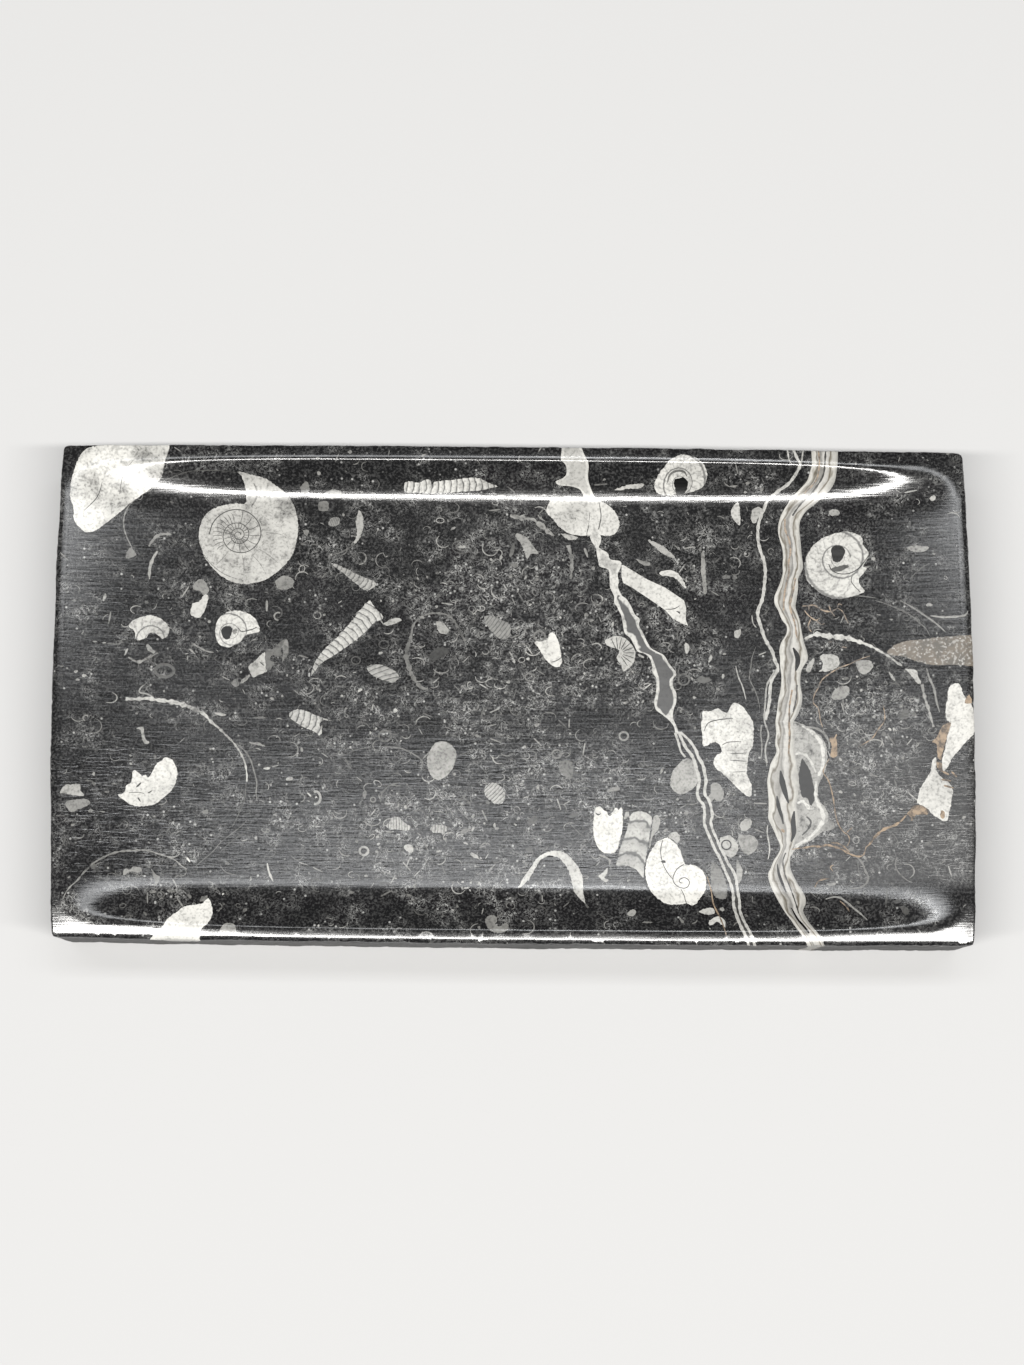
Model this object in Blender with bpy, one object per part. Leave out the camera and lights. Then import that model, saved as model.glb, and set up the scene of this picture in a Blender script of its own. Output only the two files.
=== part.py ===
"""A shallow rectangular tray ground from one slab of black fossil limestone.

One solid. The underside is flat and the sides are sawn upright. A narrow land, ground with a slight fall
outwards, runs round the top. Inside it lies a broad dish, steep along the two long sides and fading out
towards both short ends. Metres, +Z up, with the origin at the middle of the underside.
"""

import math

import bmesh
import bpy

# Driving sizes
LENGTH = 0.1668
WIDTH = 0.0912  # between the long sides at mid length
THICKNESS = 0.0180  # underside to the inner edge of the land
CORNER_RADIUS = 0.0014  # in plan
EDGE_RADIUS = 0.0005  # between the land and the sides
FOOT_CHAMFER = 0.0008  # eased edge round the underside

# The land round the top
SIDE_LAND = 0.00285  # its width along the long sides
END_LAND = 0.00197  # and along the short ends
LAND_FALL = 0.14  # fall towards the outside, per metre of width
CREST_CORNER = 0.0070  # radius in plan of the inner edge of the land at the corners

# The dish
DISH_DEPTH = 0.0050  # land to the lowest point
WALL_RISE = 0.0027  # the part of that depth taken by the steep inner wall
WALL_WIDTH = 0.0083  # of that wall, in plan
END_FADE = 4  # power by which the dish fades towards the short ends
END_PINCH = 0.06  # share by which the dish narrows at the short ends

# The hand-sawn outline
OUT_OF_SQUARE = 0.0093  # sideways lean of the outline, per metre of length
SIDE_BOW = 0.0088  # share of the width lost at the ends of the long sides
END_BOW = 0.0110  # share of the length lost at the corners of the short ends
END_BOW_CENTRE = 0.0060  # where along its height in plan each short end stands out furthest

# Facets
LENGTH_STEPS = 52
WIDTH_STEPS = 40
GRADING = 2.0  # above 1, the grid lines crowd towards the edges

STONE_COLOUR = (0.030, 0.030, 0.032, 1.0)
STONE_ROUGHNESS = 0.22

HALF_LENGTH = LENGTH / 2
HALF_WIDTH = WIDTH / 2


def clear_scene():
    for old in list(bpy.data.objects):
        bpy.data.objects.remove(old, do_unlink=True)


def graded(step, half_size):
    """Place of a grid line, for a step from -1 to 1."""
    return math.copysign(half_size * (1 - (1 - abs(step)) ** GRADING), step)


def round_corner(x, y):
    """Draws the square corner of the grid in to a quarter circle, and leaves the rest alone."""
    over_x = (abs(x) - (HALF_LENGTH - CORNER_RADIUS)) / CORNER_RADIUS
    over_y = (abs(y) - (HALF_WIDTH - CORNER_RADIUS)) / CORNER_RADIUS
    if over_x <= 0 or over_y <= 0:
        return x, y
    round_x = over_x * math.sqrt(1 - over_y**2 / 2)
    round_y = over_y * math.sqrt(1 - over_x**2 / 2)
    return (
        math.copysign(HALF_LENGTH - CORNER_RADIUS * (1 - round_x), x),
        math.copysign(HALF_WIDTH - CORNER_RADIUS * (1 - round_y), y),
    )


def inset(x, y):
    """Distance in plan from the outline."""
    over_x = abs(x) - (HALF_LENGTH - CORNER_RADIUS)
    over_y = abs(y) - (HALF_WIDTH - CORNER_RADIUS)
    if over_x > 0 and over_y > 0:
        return max(CORNER_RADIUS - math.hypot(over_x, over_y), 0.0)
    return max(CORNER_RADIUS - max(over_x, over_y), 0.0)


def land_drop(x, y):
    """How far the land and its rounded outer edge lie below the crest, which turns each corner in an arc."""
    over_x = abs(x) - (HALF_LENGTH - END_LAND - CREST_CORNER)
    over_y = abs(y) - (HALF_WIDTH - SIDE_LAND - CREST_CORNER)
    if over_x > 0 and over_y > 0:
        outside_crest = math.hypot(over_x, over_y) - CREST_CORNER
    else:
        outside_crest = max(over_x, over_y) - CREST_CORNER
    short = max(EDGE_RADIUS - inset(x, y), 0.0)
    rounding = EDGE_RADIUS - math.sqrt(EDGE_RADIUS**2 - short**2)
    return LAND_FALL * max(outside_crest, 0.0) + rounding


def dish_drop(x, y):
    """How far the dish lies below the crest. The basin is one parabola across, and the wall adds another."""
    along = min(abs(x) / (HALF_LENGTH - END_LAND), 1.0)
    crest = HALF_WIDTH - SIDE_LAND
    across = min(abs(y) * (1 + END_PINCH * along**6), crest)
    basin = (DISH_DEPTH - WALL_RISE) * (1 - (across / crest) ** 2)
    up_wall = max(across - (crest - WALL_WIDTH), 0.0) / WALL_WIDTH
    wall = WALL_RISE * (1 - up_wall**2)
    return (basin + wall) * (1 - along**END_FADE)


def sawn_outline(x, y):
    """The place in plan once the outline is bowed and out of square."""
    end_bow = END_BOW * ((y - END_BOW_CENTRE) / HALF_WIDTH) ** 2
    side_bow = SIDE_BOW * (x / HALF_LENGTH) ** 2
    return x * (1 - end_bow), y * (1 - side_bow) - OUT_OF_SQUARE * x


def skirt(bm, edges, height, draw_in):
    """Extrudes the open edges straight down to a height, and draws them in towards the middle."""
    made = bmesh.ops.extrude_edge_only(bm, edges=edges)["geom"]
    for vert in (item for item in made if isinstance(item, bmesh.types.BMVert)):
        vert.co.x -= math.copysign(draw_in, vert.co.x)
        vert.co.y -= math.copysign(draw_in, vert.co.y)
        vert.co.z = height
    return [item for item in made if isinstance(item, bmesh.types.BMEdge)]


def make_tray():
    """A grid ground to the form of the top, with upright sides and a flat underside."""
    bm = bmesh.new()
    bmesh.ops.create_grid(bm, x_segments=LENGTH_STEPS, y_segments=WIDTH_STEPS, size=1)
    for vert in bm.verts:
        x, y = round_corner(graded(vert.co.x, HALF_LENGTH), graded(vert.co.y, HALF_WIDTH))
        drop = land_drop(x, y) + dish_drop(x, y)
        vert.co = (*sawn_outline(x, y), THICKNESS - drop)
    open_edges = [edge for edge in bm.edges if edge.is_boundary]
    wall_foot = skirt(bm, open_edges, FOOT_CHAMFER, 0.0)
    base_edges = skirt(bm, wall_foot, 0.0, FOOT_CHAMFER)
    bmesh.ops.contextual_create(bm, geom=base_edges)
    bmesh.ops.recalc_face_normals(bm, faces=bm.faces)
    mesh = bpy.data.meshes.new("stone_tray")
    bm.to_mesh(mesh)
    bm.free()
    mesh.shade_smooth()
    mesh.set_sharp_from_angle(angle=math.radians(35))
    return bpy.data.objects.new("stone_tray", mesh)


def polished_limestone():
    material = bpy.data.materials.new("black_fossil_limestone")
    material.use_nodes = True
    shader = material.node_tree.nodes["Principled BSDF"]
    shader.inputs["Base Color"].default_value = STONE_COLOUR
    shader.inputs["Roughness"].default_value = STONE_ROUGHNESS
    shader.inputs["Metallic"].default_value = 0.0
    return material


def main():
    clear_scene()
    pieces = bpy.data.collections.new("fossil_tray")
    bpy.context.scene.collection.children.link(pieces)
    tray = make_tray()
    tray.data.materials.append(polished_limestone())
    pieces.objects.link(tray)


main()
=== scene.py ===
import math
from functools import partial

import bpy
import numpy as np
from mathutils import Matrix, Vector
from mathutils.geometry import delaunay_2d_cdt


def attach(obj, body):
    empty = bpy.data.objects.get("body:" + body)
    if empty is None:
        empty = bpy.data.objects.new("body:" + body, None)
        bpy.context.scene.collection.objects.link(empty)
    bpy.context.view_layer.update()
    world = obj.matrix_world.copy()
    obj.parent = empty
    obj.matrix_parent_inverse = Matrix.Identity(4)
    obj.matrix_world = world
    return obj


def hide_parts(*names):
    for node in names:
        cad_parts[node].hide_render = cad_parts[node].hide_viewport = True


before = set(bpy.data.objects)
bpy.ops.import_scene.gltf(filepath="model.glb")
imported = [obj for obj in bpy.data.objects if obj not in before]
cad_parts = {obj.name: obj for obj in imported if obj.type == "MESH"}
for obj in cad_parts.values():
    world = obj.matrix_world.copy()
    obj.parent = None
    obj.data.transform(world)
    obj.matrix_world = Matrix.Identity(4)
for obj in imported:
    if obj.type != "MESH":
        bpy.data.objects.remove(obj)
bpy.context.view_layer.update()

# Places on the stone are millimetres in plan, read one by one: x along the slab, y across it, before the sawn
# lean.

print("camera and light")

view = {
    "place": (-0.00015, -0.06577, 0.44270),  # metres
    "tiltDegrees": 9.0,
    "lens": 62.83,  # millimetres, on a 36 mm frame
}

# Degrees from straight up towards the far or near side, metres and watts
lampDistance = 1.5
lamps = {
    "farStrip": {"angle": -13.0, "aside": 0.0, "size": (2.4, 0.105), "power": 42.0, "tint": (1.0, 0.985, 0.96)},
    "nearStrip": {"angle": 15.5, "aside": 0.0, "size": (1.5, 0.20), "power": 6.0, "tint": (0.97, 0.985, 1.0)},
    "nearGlint": {"angle": 18.6, "aside": 0.13, "size": (0.24, 0.05), "power": 0.8, "tint": (0.98, 0.99, 1.0)},
}

room = {"grey": 0.11, "floorGrey": 0.50, "floorSize": 40.0}


def makeCamera():
    camera = bpy.data.objects.new("camera", bpy.data.cameras.new("camera"))
    camera.location = view["place"]
    camera.rotation_euler = (math.radians(view["tiltDegrees"]), 0, 0)
    camera.data.lens = view["lens"]
    camera.data.clip_end = 50
    bpy.context.scene.collection.objects.link(camera)
    bpy.context.scene.camera = camera


def makeLamp(name, angle, aside, size, power, tint):
    lamp = bpy.data.objects.new(name, bpy.data.lights.new(name, "AREA"))
    lamp.data.shape = "RECTANGLE"
    lamp.data.size, lamp.data.size_y = size
    lamp.data.energy = power
    lamp.data.color = tint
    turn = math.radians(angle)
    lamp.location = (aside, lampDistance * math.sin(turn), lampDistance * math.cos(turn))
    lamp.rotation_euler = (-turn, 0, 0)  # faces the stone
    bpy.context.scene.collection.objects.link(lamp)


def makeRoom():
    world = bpy.data.worlds.new("studio")
    bpy.context.scene.world = world
    world.use_nodes = True
    world.node_tree.nodes["Background"].inputs["Color"].default_value = (*[room["grey"]] * 3, 1)
    mesh = bpy.data.meshes.new("floor")
    half = room["floorSize"] / 2
    mesh.from_pydata([(-half, -half, 0), (half, -half, 0), (half, half, 0), (-half, half, 0)], [], [(0, 1, 2, 3)])
    floor = bpy.data.objects.new("floor", mesh)
    floor.location.z = -0.0001
    bpy.context.scene.collection.objects.link(floor)
    paper = bpy.data.materials.new("pale_paper")
    paper.use_nodes = True
    paper.node_tree.nodes["Principled BSDF"].inputs["Base Color"].default_value = (*[room["floorGrey"]] * 3, 1)
    paper.node_tree.nodes["Principled BSDF"].inputs["Roughness"].default_value = 0.9
    mesh.materials.append(paper)


makeCamera()
for lampName, lampFacts in lamps.items():
    makeLamp(lampName, **lampFacts)
makeRoom()
bpy.context.scene.view_settings.view_transform = "Standard"

# Millimetres, apart from the slopes landFall and outOfSquare, the power endFade, and the shares endPinch,
# sideBow and endBow
slab = {
    "length": 166.796, "width": 91.2, "thickness": 18.0,
    "sideLand": 2.85, "endLand": 1.97, "landFall": 0.14,
    "basinDepth": 2.3, "wallRise": 2.7, "wallWidth": 8.3, "endFade": 4.0, "endPinch": 0.06,
    "crestSoftness": 0.56, "crestCorner": 7.0, "cornerRadius": 1.4, "edgeRadius": 0.5, "footChamfer": 0.8,
    "outOfSquare": 0.0093, "sideBow": 0.0088, "endBow": 0.0110, "endBowCentre": 6.0,
    "sawMarks": 0.22,
}
halfLength = slab["length"] / 2
halfWidth = slab["width"] / 2
sideCrest = halfWidth - slab["sideLand"]
endCrest = halfLength - slab["endLand"]

print("markings")

marks = []  # later ones lie over earlier ones
chance = np.random.default_rng(11)


def smoothed(points, step, closed=True):
    # A smooth line through the points, given in pairs or as one run of x, y
    pts = np.reshape(points, (-1, 2)).astype(float)
    count = len(pts)
    out = []
    for i in range(count if closed else count - 1):
        if closed:
            a, b, c, d = (pts[(i + k) % count] for k in (-1, 0, 1, 2))
        else:
            a, b, c, d = (pts[min(max(i + k, 0), count - 1)] for k in (-1, 0, 1, 2))
        pieces = max(1, int(round(np.linalg.norm(c - b) / step)))
        for t in np.arange(pieces) / pieces:
            out.append(0.5 * (2 * b + (c - a) * t + (2 * a - 5 * b + 4 * c - d) * t**2
                              + (3 * b - a - 3 * c + d) * t**3))
    if not closed:
        out.append(pts[-1])
    return np.array(out)


def inside(points, polygon):
    # Which points lie within the polygon
    x, y = points[:, 0], points[:, 1]
    found = np.zeros(len(points), bool)
    for (x0, y0), (x1, y1) in zip(polygon, np.roll(polygon, -1, axis=0)):
        if y0 != y1:
            crossing = (y0 > y) != (y1 > y)
            found ^= crossing & (x < (x1 - x0) * (y - y0) / (y1 - y0) + x0)
    return found


def addMark(outline, finish="calcite", tone=0.8, mottle=0.35, uv=None):
    marks.append({"outline": np.reshape(outline, (-1, 2)).astype(float), "finish": finish, "tone": tone,
                  "mottle": mottle, "uv": uv})


def blob(points, tone=0.8, mottle=0.35, finish="calcite", uv=None, step=0.28, ragged=0.045):
    edge = smoothed(points, step)
    addMark(edge + chance.normal(0, ragged, edge.shape), finish, tone, mottle, uv)


def sharp(points, tone=0.8, mottle=0.35, finish="calcite", uv=None):
    addMark(points, finish, tone, mottle, uv)


def offset(x, y, px, py, turn):
    # The place px, py away from x, y, turned about it by some degrees
    cosine, sine = math.cos(math.radians(turn)), math.sin(math.radians(turn))
    return x + px * cosine - py * sine, y + px * sine + py * cosine


def lump(x, y, long, wide, turn=0, tone=0.65, mottle=0.5):
    # An uneven grain, whose form follows from its place
    seed = math.sin(x * 12.9 + y * 78.2) * 43.5
    count = 8 if long < 1 else 12
    outline = []
    for angle in (math.tau * k / count for k in range(count)):
        wobble = 1 + 0.16 * math.sin(seed + 2 * angle) + 0.10 * math.sin(1.7 * seed + 3 * angle)
        px, py = long / 2 * wobble * math.cos(angle), wide / 2 * wobble * math.sin(angle)
        outline.append(offset(x, y, px, py, turn))
    blob(outline, tone, mottle, step=0.25, ragged=0.03)


def stroke(points, width=0.4, tone=0.6, mottle=0.4, finish="calcite", ragged=0.0):
    # A line that tapers at both ends, or has the widths given along it
    path = smoothed(points, 0.35, closed=False)
    s = np.linspace(0, 1, len(path))
    if isinstance(width, tuple):
        widths = np.interp(s, np.linspace(0, 1, len(width)), width)
    else:
        widths = width * (1 - 0.65 * np.abs(2 * s - 1) ** 3)
    widths = widths * (1 + ragged * (np.sin(s * len(path) * 1.1) + np.sin(s * len(path) * 1.9 + 1)) / 2)
    heading = np.gradient(path, axis=0)
    heading /= np.linalg.norm(heading, axis=1)[:, None]
    side = np.c_[-heading[:, 1], heading[:, 0]] * np.maximum(widths, 0.09)[:, None] / 2
    addMark(np.vstack([path + side, (path - side)[::-1]]), finish, tone, mottle)


def ring(x, y, long, wide, width, turn=0, tone=0.45, mottle=0.5, share=1.0, start=0):
    path = []
    for k in range(17):
        angle = math.radians(start) + math.tau * share * k / 16
        path.append(offset(x, y, long / 2 * math.cos(angle), wide / 2 * math.sin(angle), turn))
    stroke(path, (width, width), tone, mottle)


# How the patterns inside a fossil are laid: round a coil, along a cone, or between the two edges of a vein
def coilUv(x, y, scale, turn=0):
    cosine, sine = math.cos(math.radians(turn)), math.sin(math.radians(turn))

    def lay(points):
        d = (points - (x, y)) / scale
        return np.c_[d[:, 0] * cosine + d[:, 1] * sine, d[:, 1] * cosine - d[:, 0] * sine]

    return lay


def axisUv(tip, foot, halfWide, pitch):
    tip, foot = np.array(tip, float), np.array(foot, float)
    axis = (foot - tip) / np.linalg.norm(foot - tip)
    side = np.array([-axis[1], axis[0]])
    return lambda points: np.c_[(points - tip) @ axis / pitch, (points - tip) @ side / halfWide]


def edgesBeside(points, edges):
    # Where the left and the right edge of a vein pass each point
    return (np.interp(-points[:, 1], -edge[:, 1], edge[:, 0]) for edge in edges)


def acrossUv(*edges):
    # Share of the way across the vein
    def lay(points):
        x0, x1 = edgesBeside(points, edges)
        return np.c_[(points[:, 0] - x0) / np.maximum(x1 - x0, 0.3), points[:, 1] / 10]

    return lay


def edgeUv(*edges):
    # Millimetres from the nearer edge of the vein
    def lay(points):
        x0, x1 = edgesBeside(points, edges)
        return np.c_[np.minimum(points[:, 0] - x0, x1 - points[:, 0]), points[:, 1] / 10]

    return lay


# Curved bands and fine lines, under everything else: width, tone, points
fineLines = [
    (0.22, 0.42, -66.5, 37.2, -68.8, 36, -70.5, 34.3, -71.4, 32.2, -71.4, 30, -70.8, 28.2, -70, 26.6,
     -69.4, 25.2),
    (0.16, 0.25, -64.8, 38.6, -62.5, 39.6, -59.5, 40.5, -55, 40.7, -51.2, 40.4),
    (0.5, 0.4, -66.8, 26.6, -66.3, 27.5, -65.4, 28.6, -64.3, 29, -62.8, 29),
    (0.55, 0.5, -65.2, 25.8, -66, 24.3, -66.5, 22.5, -66.5, 20.5),
    (0.45, 0.4, -45.1, 17, -45.1, 15),
    (0.18, 0.3, -28.6, 28.2, -30, 27, -32, 26, -34, 25.4),
    (0.25, 0.3, -73.7, 8.3, -71.6, 8.3, -71.1, 9.1),
    (0.15, 0.22, -77.5, 13.2, -77.5, 10.3),
    (0.3, 0.4, -58.7, 8.9, -56.1, 7.5, -54.6, 7.2),
    (0.18, 0.28, -33.6, -11.6, -31.2, -11.5, -30.1, -11.2, -28.9, -10.5, -26.5, -10),
    (0.25, 0.32, -23.9, -9.7, -20.6, -10, -18.6, -10.8, -17, -11.8, -16.4, -12.7, -16.7, -14),
    (0.3, 0.45, -66.9, 0.9, -67.5, 0.4, -67.8, -0.5, -66.4, -0.8, -65.2, -1.4),
    (0.25, 0.35, -50.2, -9.6, -48.7, -10.9, -47.7, -12.4, -47.1, -14.3, -46.5, -16.6, -46.6, -18.6, -46.4, -20),
    (0.16, 0.3, -57.6, -32.3, -56, -30.9, -54.4, -29.5, -52.9, -27.7, -51.5, -26.5, -50.2, -25.5, -49, -24.5,
     -48, -23.3),
    (0.14, 0.25, -53, -29.5, -51.3, -27.8, -49.5, -26.4, -48.4, -26.2),
    (0.16, 0.28, -50.8, -24.8, -49.5, -22, -48.7, -20, -48.4, -16.6),
    (0.2, 0.28, -53, -31.8, -52.3, -32.8, -51.4, -33.3, -50, -33.6),
    (0.35, 0.55, -44.5, -31.3, -44.2, -32.8, -43.8, -33.8, -43.4, -34.6),
    (0.16, 0.35, -12.6, -19.8, -11.4, -21.3, -10.9, -22.1, -10.9, -22.8),
    (0.18, 0.35, -10, -21, -8, -23),
    (0.3, 0.3, -24, -20, -23.8, -18.5, -22.5, -17, -20.5, -16.3),
    (0.25, 0.25, -12.8, -31.5, -12.2, -33),
    (0.16, 0.28, 10.2, -23.4, 11.6, -24.8, 12.8, -25.9),
    (0.14, 0.24, 1, -27.4, 3.4, -26.4, 6.2, -25.4),
    (0.18, 0.36, 30.3, -20.6, 31.6, -19.9, 33, -19.8, 34, -19.2),
    (0.16, 0.3, 29.6, 12.4, 30.3, 12.6, 30.1, 11, 30.4, 10),
    (0.45, 0.42, 13.2, 27.3, 13.8, 25.6),
    (0.25, 0.3, 15, 38.8, 17.5, 39),
    (0.18, 0.25, 72.6, 21.8, 74.5, 23.6, 76.2, 24.6),
    (0.4, 0.45, 75.9, 14.8, 77.9, 14.5, 80.6, 14.5, 82.1, 14.8, 82.6, 15.6),
    (0.32, 0.42, 70.6, 17.8, 72.5, 16.6, 74.5, 15.2, 76.8, 13.4, 78.5, 11.7),
    (0.2, 0.3, 61.5, 18.7, 64, 18.6, 66.5, 18.2),
    (0.22, 0.34, 66.2, 17.8, 68.5, 17, 71, 15.8, 72.6, 14.8, 73.8, 13.6, 75, 12.5, 75.7, 11.1),
    (0.38, 0.4, 75, 5.1, 75.4, 3.4, 76.2, 1.3, 76.6, -1.1, 77.1, -3.1),
    (0.42, 0.4, 53.2, -5.5, 55.3, -5.9, 56.6, -6.9, 57.4, -8.4, 57.4, -9.6),
    (0.35, 0.32, 61, -28.6, 62.2, -29.4, 63.2, -30.6, 63.6, -31.8, 64.2, -33, 63.8, -34.2, 62.6, -34.9,
     61, -35.1),
    (0.18, 0.28, 62.3, -30.3, 62.5, -32, 62.9, -33.6),
    (0.35, 0.45, 56.5, -37, 58, -36.6, 59.2, -36.8, 60.3, -37.6, 61.4, -38.6, 62.6, -39.6, 63.8, -40.8),
    (0.25, 0.35, 69.3, -29.4, 69, -30.6, 69.3, -31.8, 70.1, -32.8, 71.2, -33.7, 72, -34),
    (0.2, 0.26, 68.3, -24.9, 69.2, -26, 69.6, -27.4),
    (0.3, 0.28, 67.5, -35, 67.4, -36.6, 67.2, -38.5),
    (0.14, 0.24, 15, -39.5, 16, -40.2, 17, -41),
    (0.25, 0.5, 40.7, 5.7, 41.2, 3.6, 41.9, 1.9, 42.5, -0.5),
    (0.22, 0.3, 44.4, 9.2, 43.7, 7.2, 43.5, 5.7, 43.2, 3.4, 44.1, 1.3, 44.7, -0.5, 45, -2.2),
    (0.25, 0.6, 50.8, 46.5, 51, 43.5, 51.6, 42.6),
    (0.25, 0.6, 53.9, 46.5, 53.3, 43),
    (0.22, 0.5, 43.8, 15.1, 44, 13.6, 44.6, 12.8),
    (0.22, 0.5, 44.9, 7.7, 46.3, 8.3),
    (0.25, 0.6, 46.2, -23.6, 46.1, -25.1, 46.4, -26.8, 46.5, -28.3, 46.2, -29.8),
    (0.4, 0.4, 15.6, -29.2, 16.6, -29.5, 17.6, -30.2, 17.5, -31),
]

# Shells seen edge on, as arcs that swell and fade: widths along the arc, tone, points
arcs = [
    ((0.5, 0.6, 0.8, 0.5, 0.35, 0.3, 0.25), 0.72, -70.2, -1.8, -68.4, -1.8, -66.4, -1.6, -64.9, -1.8,
     -62.2, -2.1, -60.2, -2.5, -58.1, -3.3, -56.1, -4.3, -54.9, -5.6, -53.4, -6.8, -52.1, -8.1, -50.8, -9.4,
     -49.6, -11.1, -48.7, -13, -48.3, -15.2, -48.3, -16.6),
    ((0.15, 0.25, 0.3, 0.34, 0.3, 0.25, 0.2), 0.55, -80.9, -38.6, -80.4, -37.4, -79.5, -36.2, -78.4, -35.2,
     -77.5, -34, -76.3, -32.7, -75.3, -31.8, -74, -31, -72.4, -30.2, -70.6, -29.7, -68.4, -29.5, -66.2, -29.4,
     -64.4, -29.9, -62.7, -30.4, -61.2, -31, -60, -32, -58.9, -32.7),
    ((0.3, 0.35, 0.3, 0.4, 0.8, 0.7, 0.5), 0.42, -10, 12.2, -10.9, 13.8, -12.1, 14.7, -14.2, 15, -15.9, 14.7,
     -17.4, 13.8, -18.3, 12.5, -18.7, 10.4, -19.3, 8.6, -19.5, 6.9, -19, 5, -18.4, 3.4, -17.4, 1.9, -16.5, 1.1,
     -15.5, 1),
    ((0.6, 0.5, 0.3), 0.4, -10, 11.9, -9.2, 10.7, -8.7, 9.8),
    ((0.4, 0.9, 0.9, 0.5, 0.35, 0.35), 0.78, 53.4, 10.6, 54.1, 11.1, 55.6, 11.6, 57.1, 11.3, 58.8, 11.1,
     60.9, 10.9, 62.4, 10.4, 64.1, 9.8, 65.6, 9.1, 67.1, 8.2, 68.5, 7.3, 69.7, 6.3, 70.7, 5.6),
    ((0.5, 0.45, 0.4, 0.3), 0.6, 74.1, 2.2, 74.6, -0.5, 75.1, -2.2, 75.6, -4.3, 76, -5.8),
    ((0.3, 1, 0.5, 0.4, 1, 0.9, 0.4), 0.62, -0.5, 33.2, 1.8, 32.7, 3.8, 32.5, 4.4, 32, 6, 30.8, 7.6, 29.5),
    ((0.6, 0.7, 0.4), 0.5, 10.2, 27.8, 10.8, 25.5, 10.8, 23, 10.6, 21.5),
    ((0.2, 0.8, 0.9, 0.4), 0.6, -66.6, 8.4, -66.1, 7.5, -65.2, 6.9),
    ((0.2, 0.5, 0.4, 0.2), 0.55, -69.9, 5.9, -68.1, 5.1, -66.4, 5.9, -64.6, 6.9),
]

# Where the stone is crowded with broken shell: x, y, reach, how crowded
crowds = [
    (4, 12, 17, 0.75), (-5, 22, 11, 0.8), (24, 3, 6, 0.8), (-16, -24, 14, 0.6), (66, -10, 9, 0.55),
    (-30, -6, 12, 0.35), (2, -14, 14, 0.6), (-4, -30, 14, 0.5), (65, -4, 9, 0.95), (66, -18, 7, 0.7),
    (60, -4, 6, 0.7), (30, 12, 12, 0.4), (14, -20, 12, 0.45), (40, -20, 9, 0.35), (-62, -34, 9, 0.3),
    (-30, 24, 14, 0.3), (62, -24, 10, 0.4), (36, 24, 12, 0.3), (-2, -2, 14, 0.6), (-36, -26, 14, 0.2),
    (-54, 14, 12, 0.2), (58, 4, 8, 0.3), (28, -24, 5, 0.7),
]


def crowdingAt(points):
    total = np.zeros(len(points))
    for x, y, reach, share in crowds:
        total = np.maximum(total, share * np.exp(-(((points - (x, y)) ** 2).sum(axis=1)) / reach**2))
    return total


def crescent(x, y, radius, sweep, turn, width):
    angles = turn + np.linspace(0, sweep, 6)
    stretch = chance.uniform(0.6, 1.0)
    bend = np.c_[np.cos(angles), stretch * np.sin(angles)] * radius
    return (x, y) + bend - bend.mean(axis=0), (0.4 * width, width, 0.8 * width, 0.3 * width)


def scatterChips(count):
    # Broken shell of every size, mostly curved slivers cut across
    spots = chance.uniform((-halfLength, -halfWidth), (halfLength, halfWidth), (count * 5, 2))
    kept = spots[chance.uniform(0, 1, len(spots)) < 0.07 + 0.9 * crowdingAt(spots)][:count]
    for x, y in kept:
        kind, turn = chance.uniform(), chance.uniform(0, math.tau)
        size = chance.uniform(0.25, 1.0) ** 2
        tone = chance.uniform(0.28, 0.60) + 0.22 * float(crowdingAt(np.array([[x, y]]))[0]) ** 2
        if kind < 0.5:
            path, widths = crescent(x, y, 0.3 + 1.2 * size, chance.uniform(1.0, 3.6), turn, 0.10 + 0.14 * size)
            stroke(path, widths, tone, 0.6)
        elif kind < 0.64:
            dx, dy = (0.3 + 0.9 * size) * math.cos(turn), (0.3 + 0.9 * size) * math.sin(turn)
            stroke([(x - dx, y - dy), (x, y), (x + dx, y + dy)], 0.12 + 0.16 * size, tone, 0.6)
        elif kind < 0.70:
            long = 0.5 + 1.1 * size
            ring(x, y, long, long * chance.uniform(0.45, 1), 0.10 + 0.06 * size, math.degrees(turn), tone, 0.6,
                 chance.uniform(0.6, 1.0), chance.uniform(0, 360))
        else:
            long = 0.22 + 0.6 * size
            lump(x, y, long, long * chance.uniform(0.4, 0.9), math.degrees(turn), tone, 0.6)


scatterChips(count=1500)
for width, tone, *points in fineLines:
    stroke(points, width, 1.25 * tone, 0.6, ragged=0.3)
for widths, tone, *points in arcs:
    stroke(points, widths, tone, 0.9, ragged=0.6)

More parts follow.
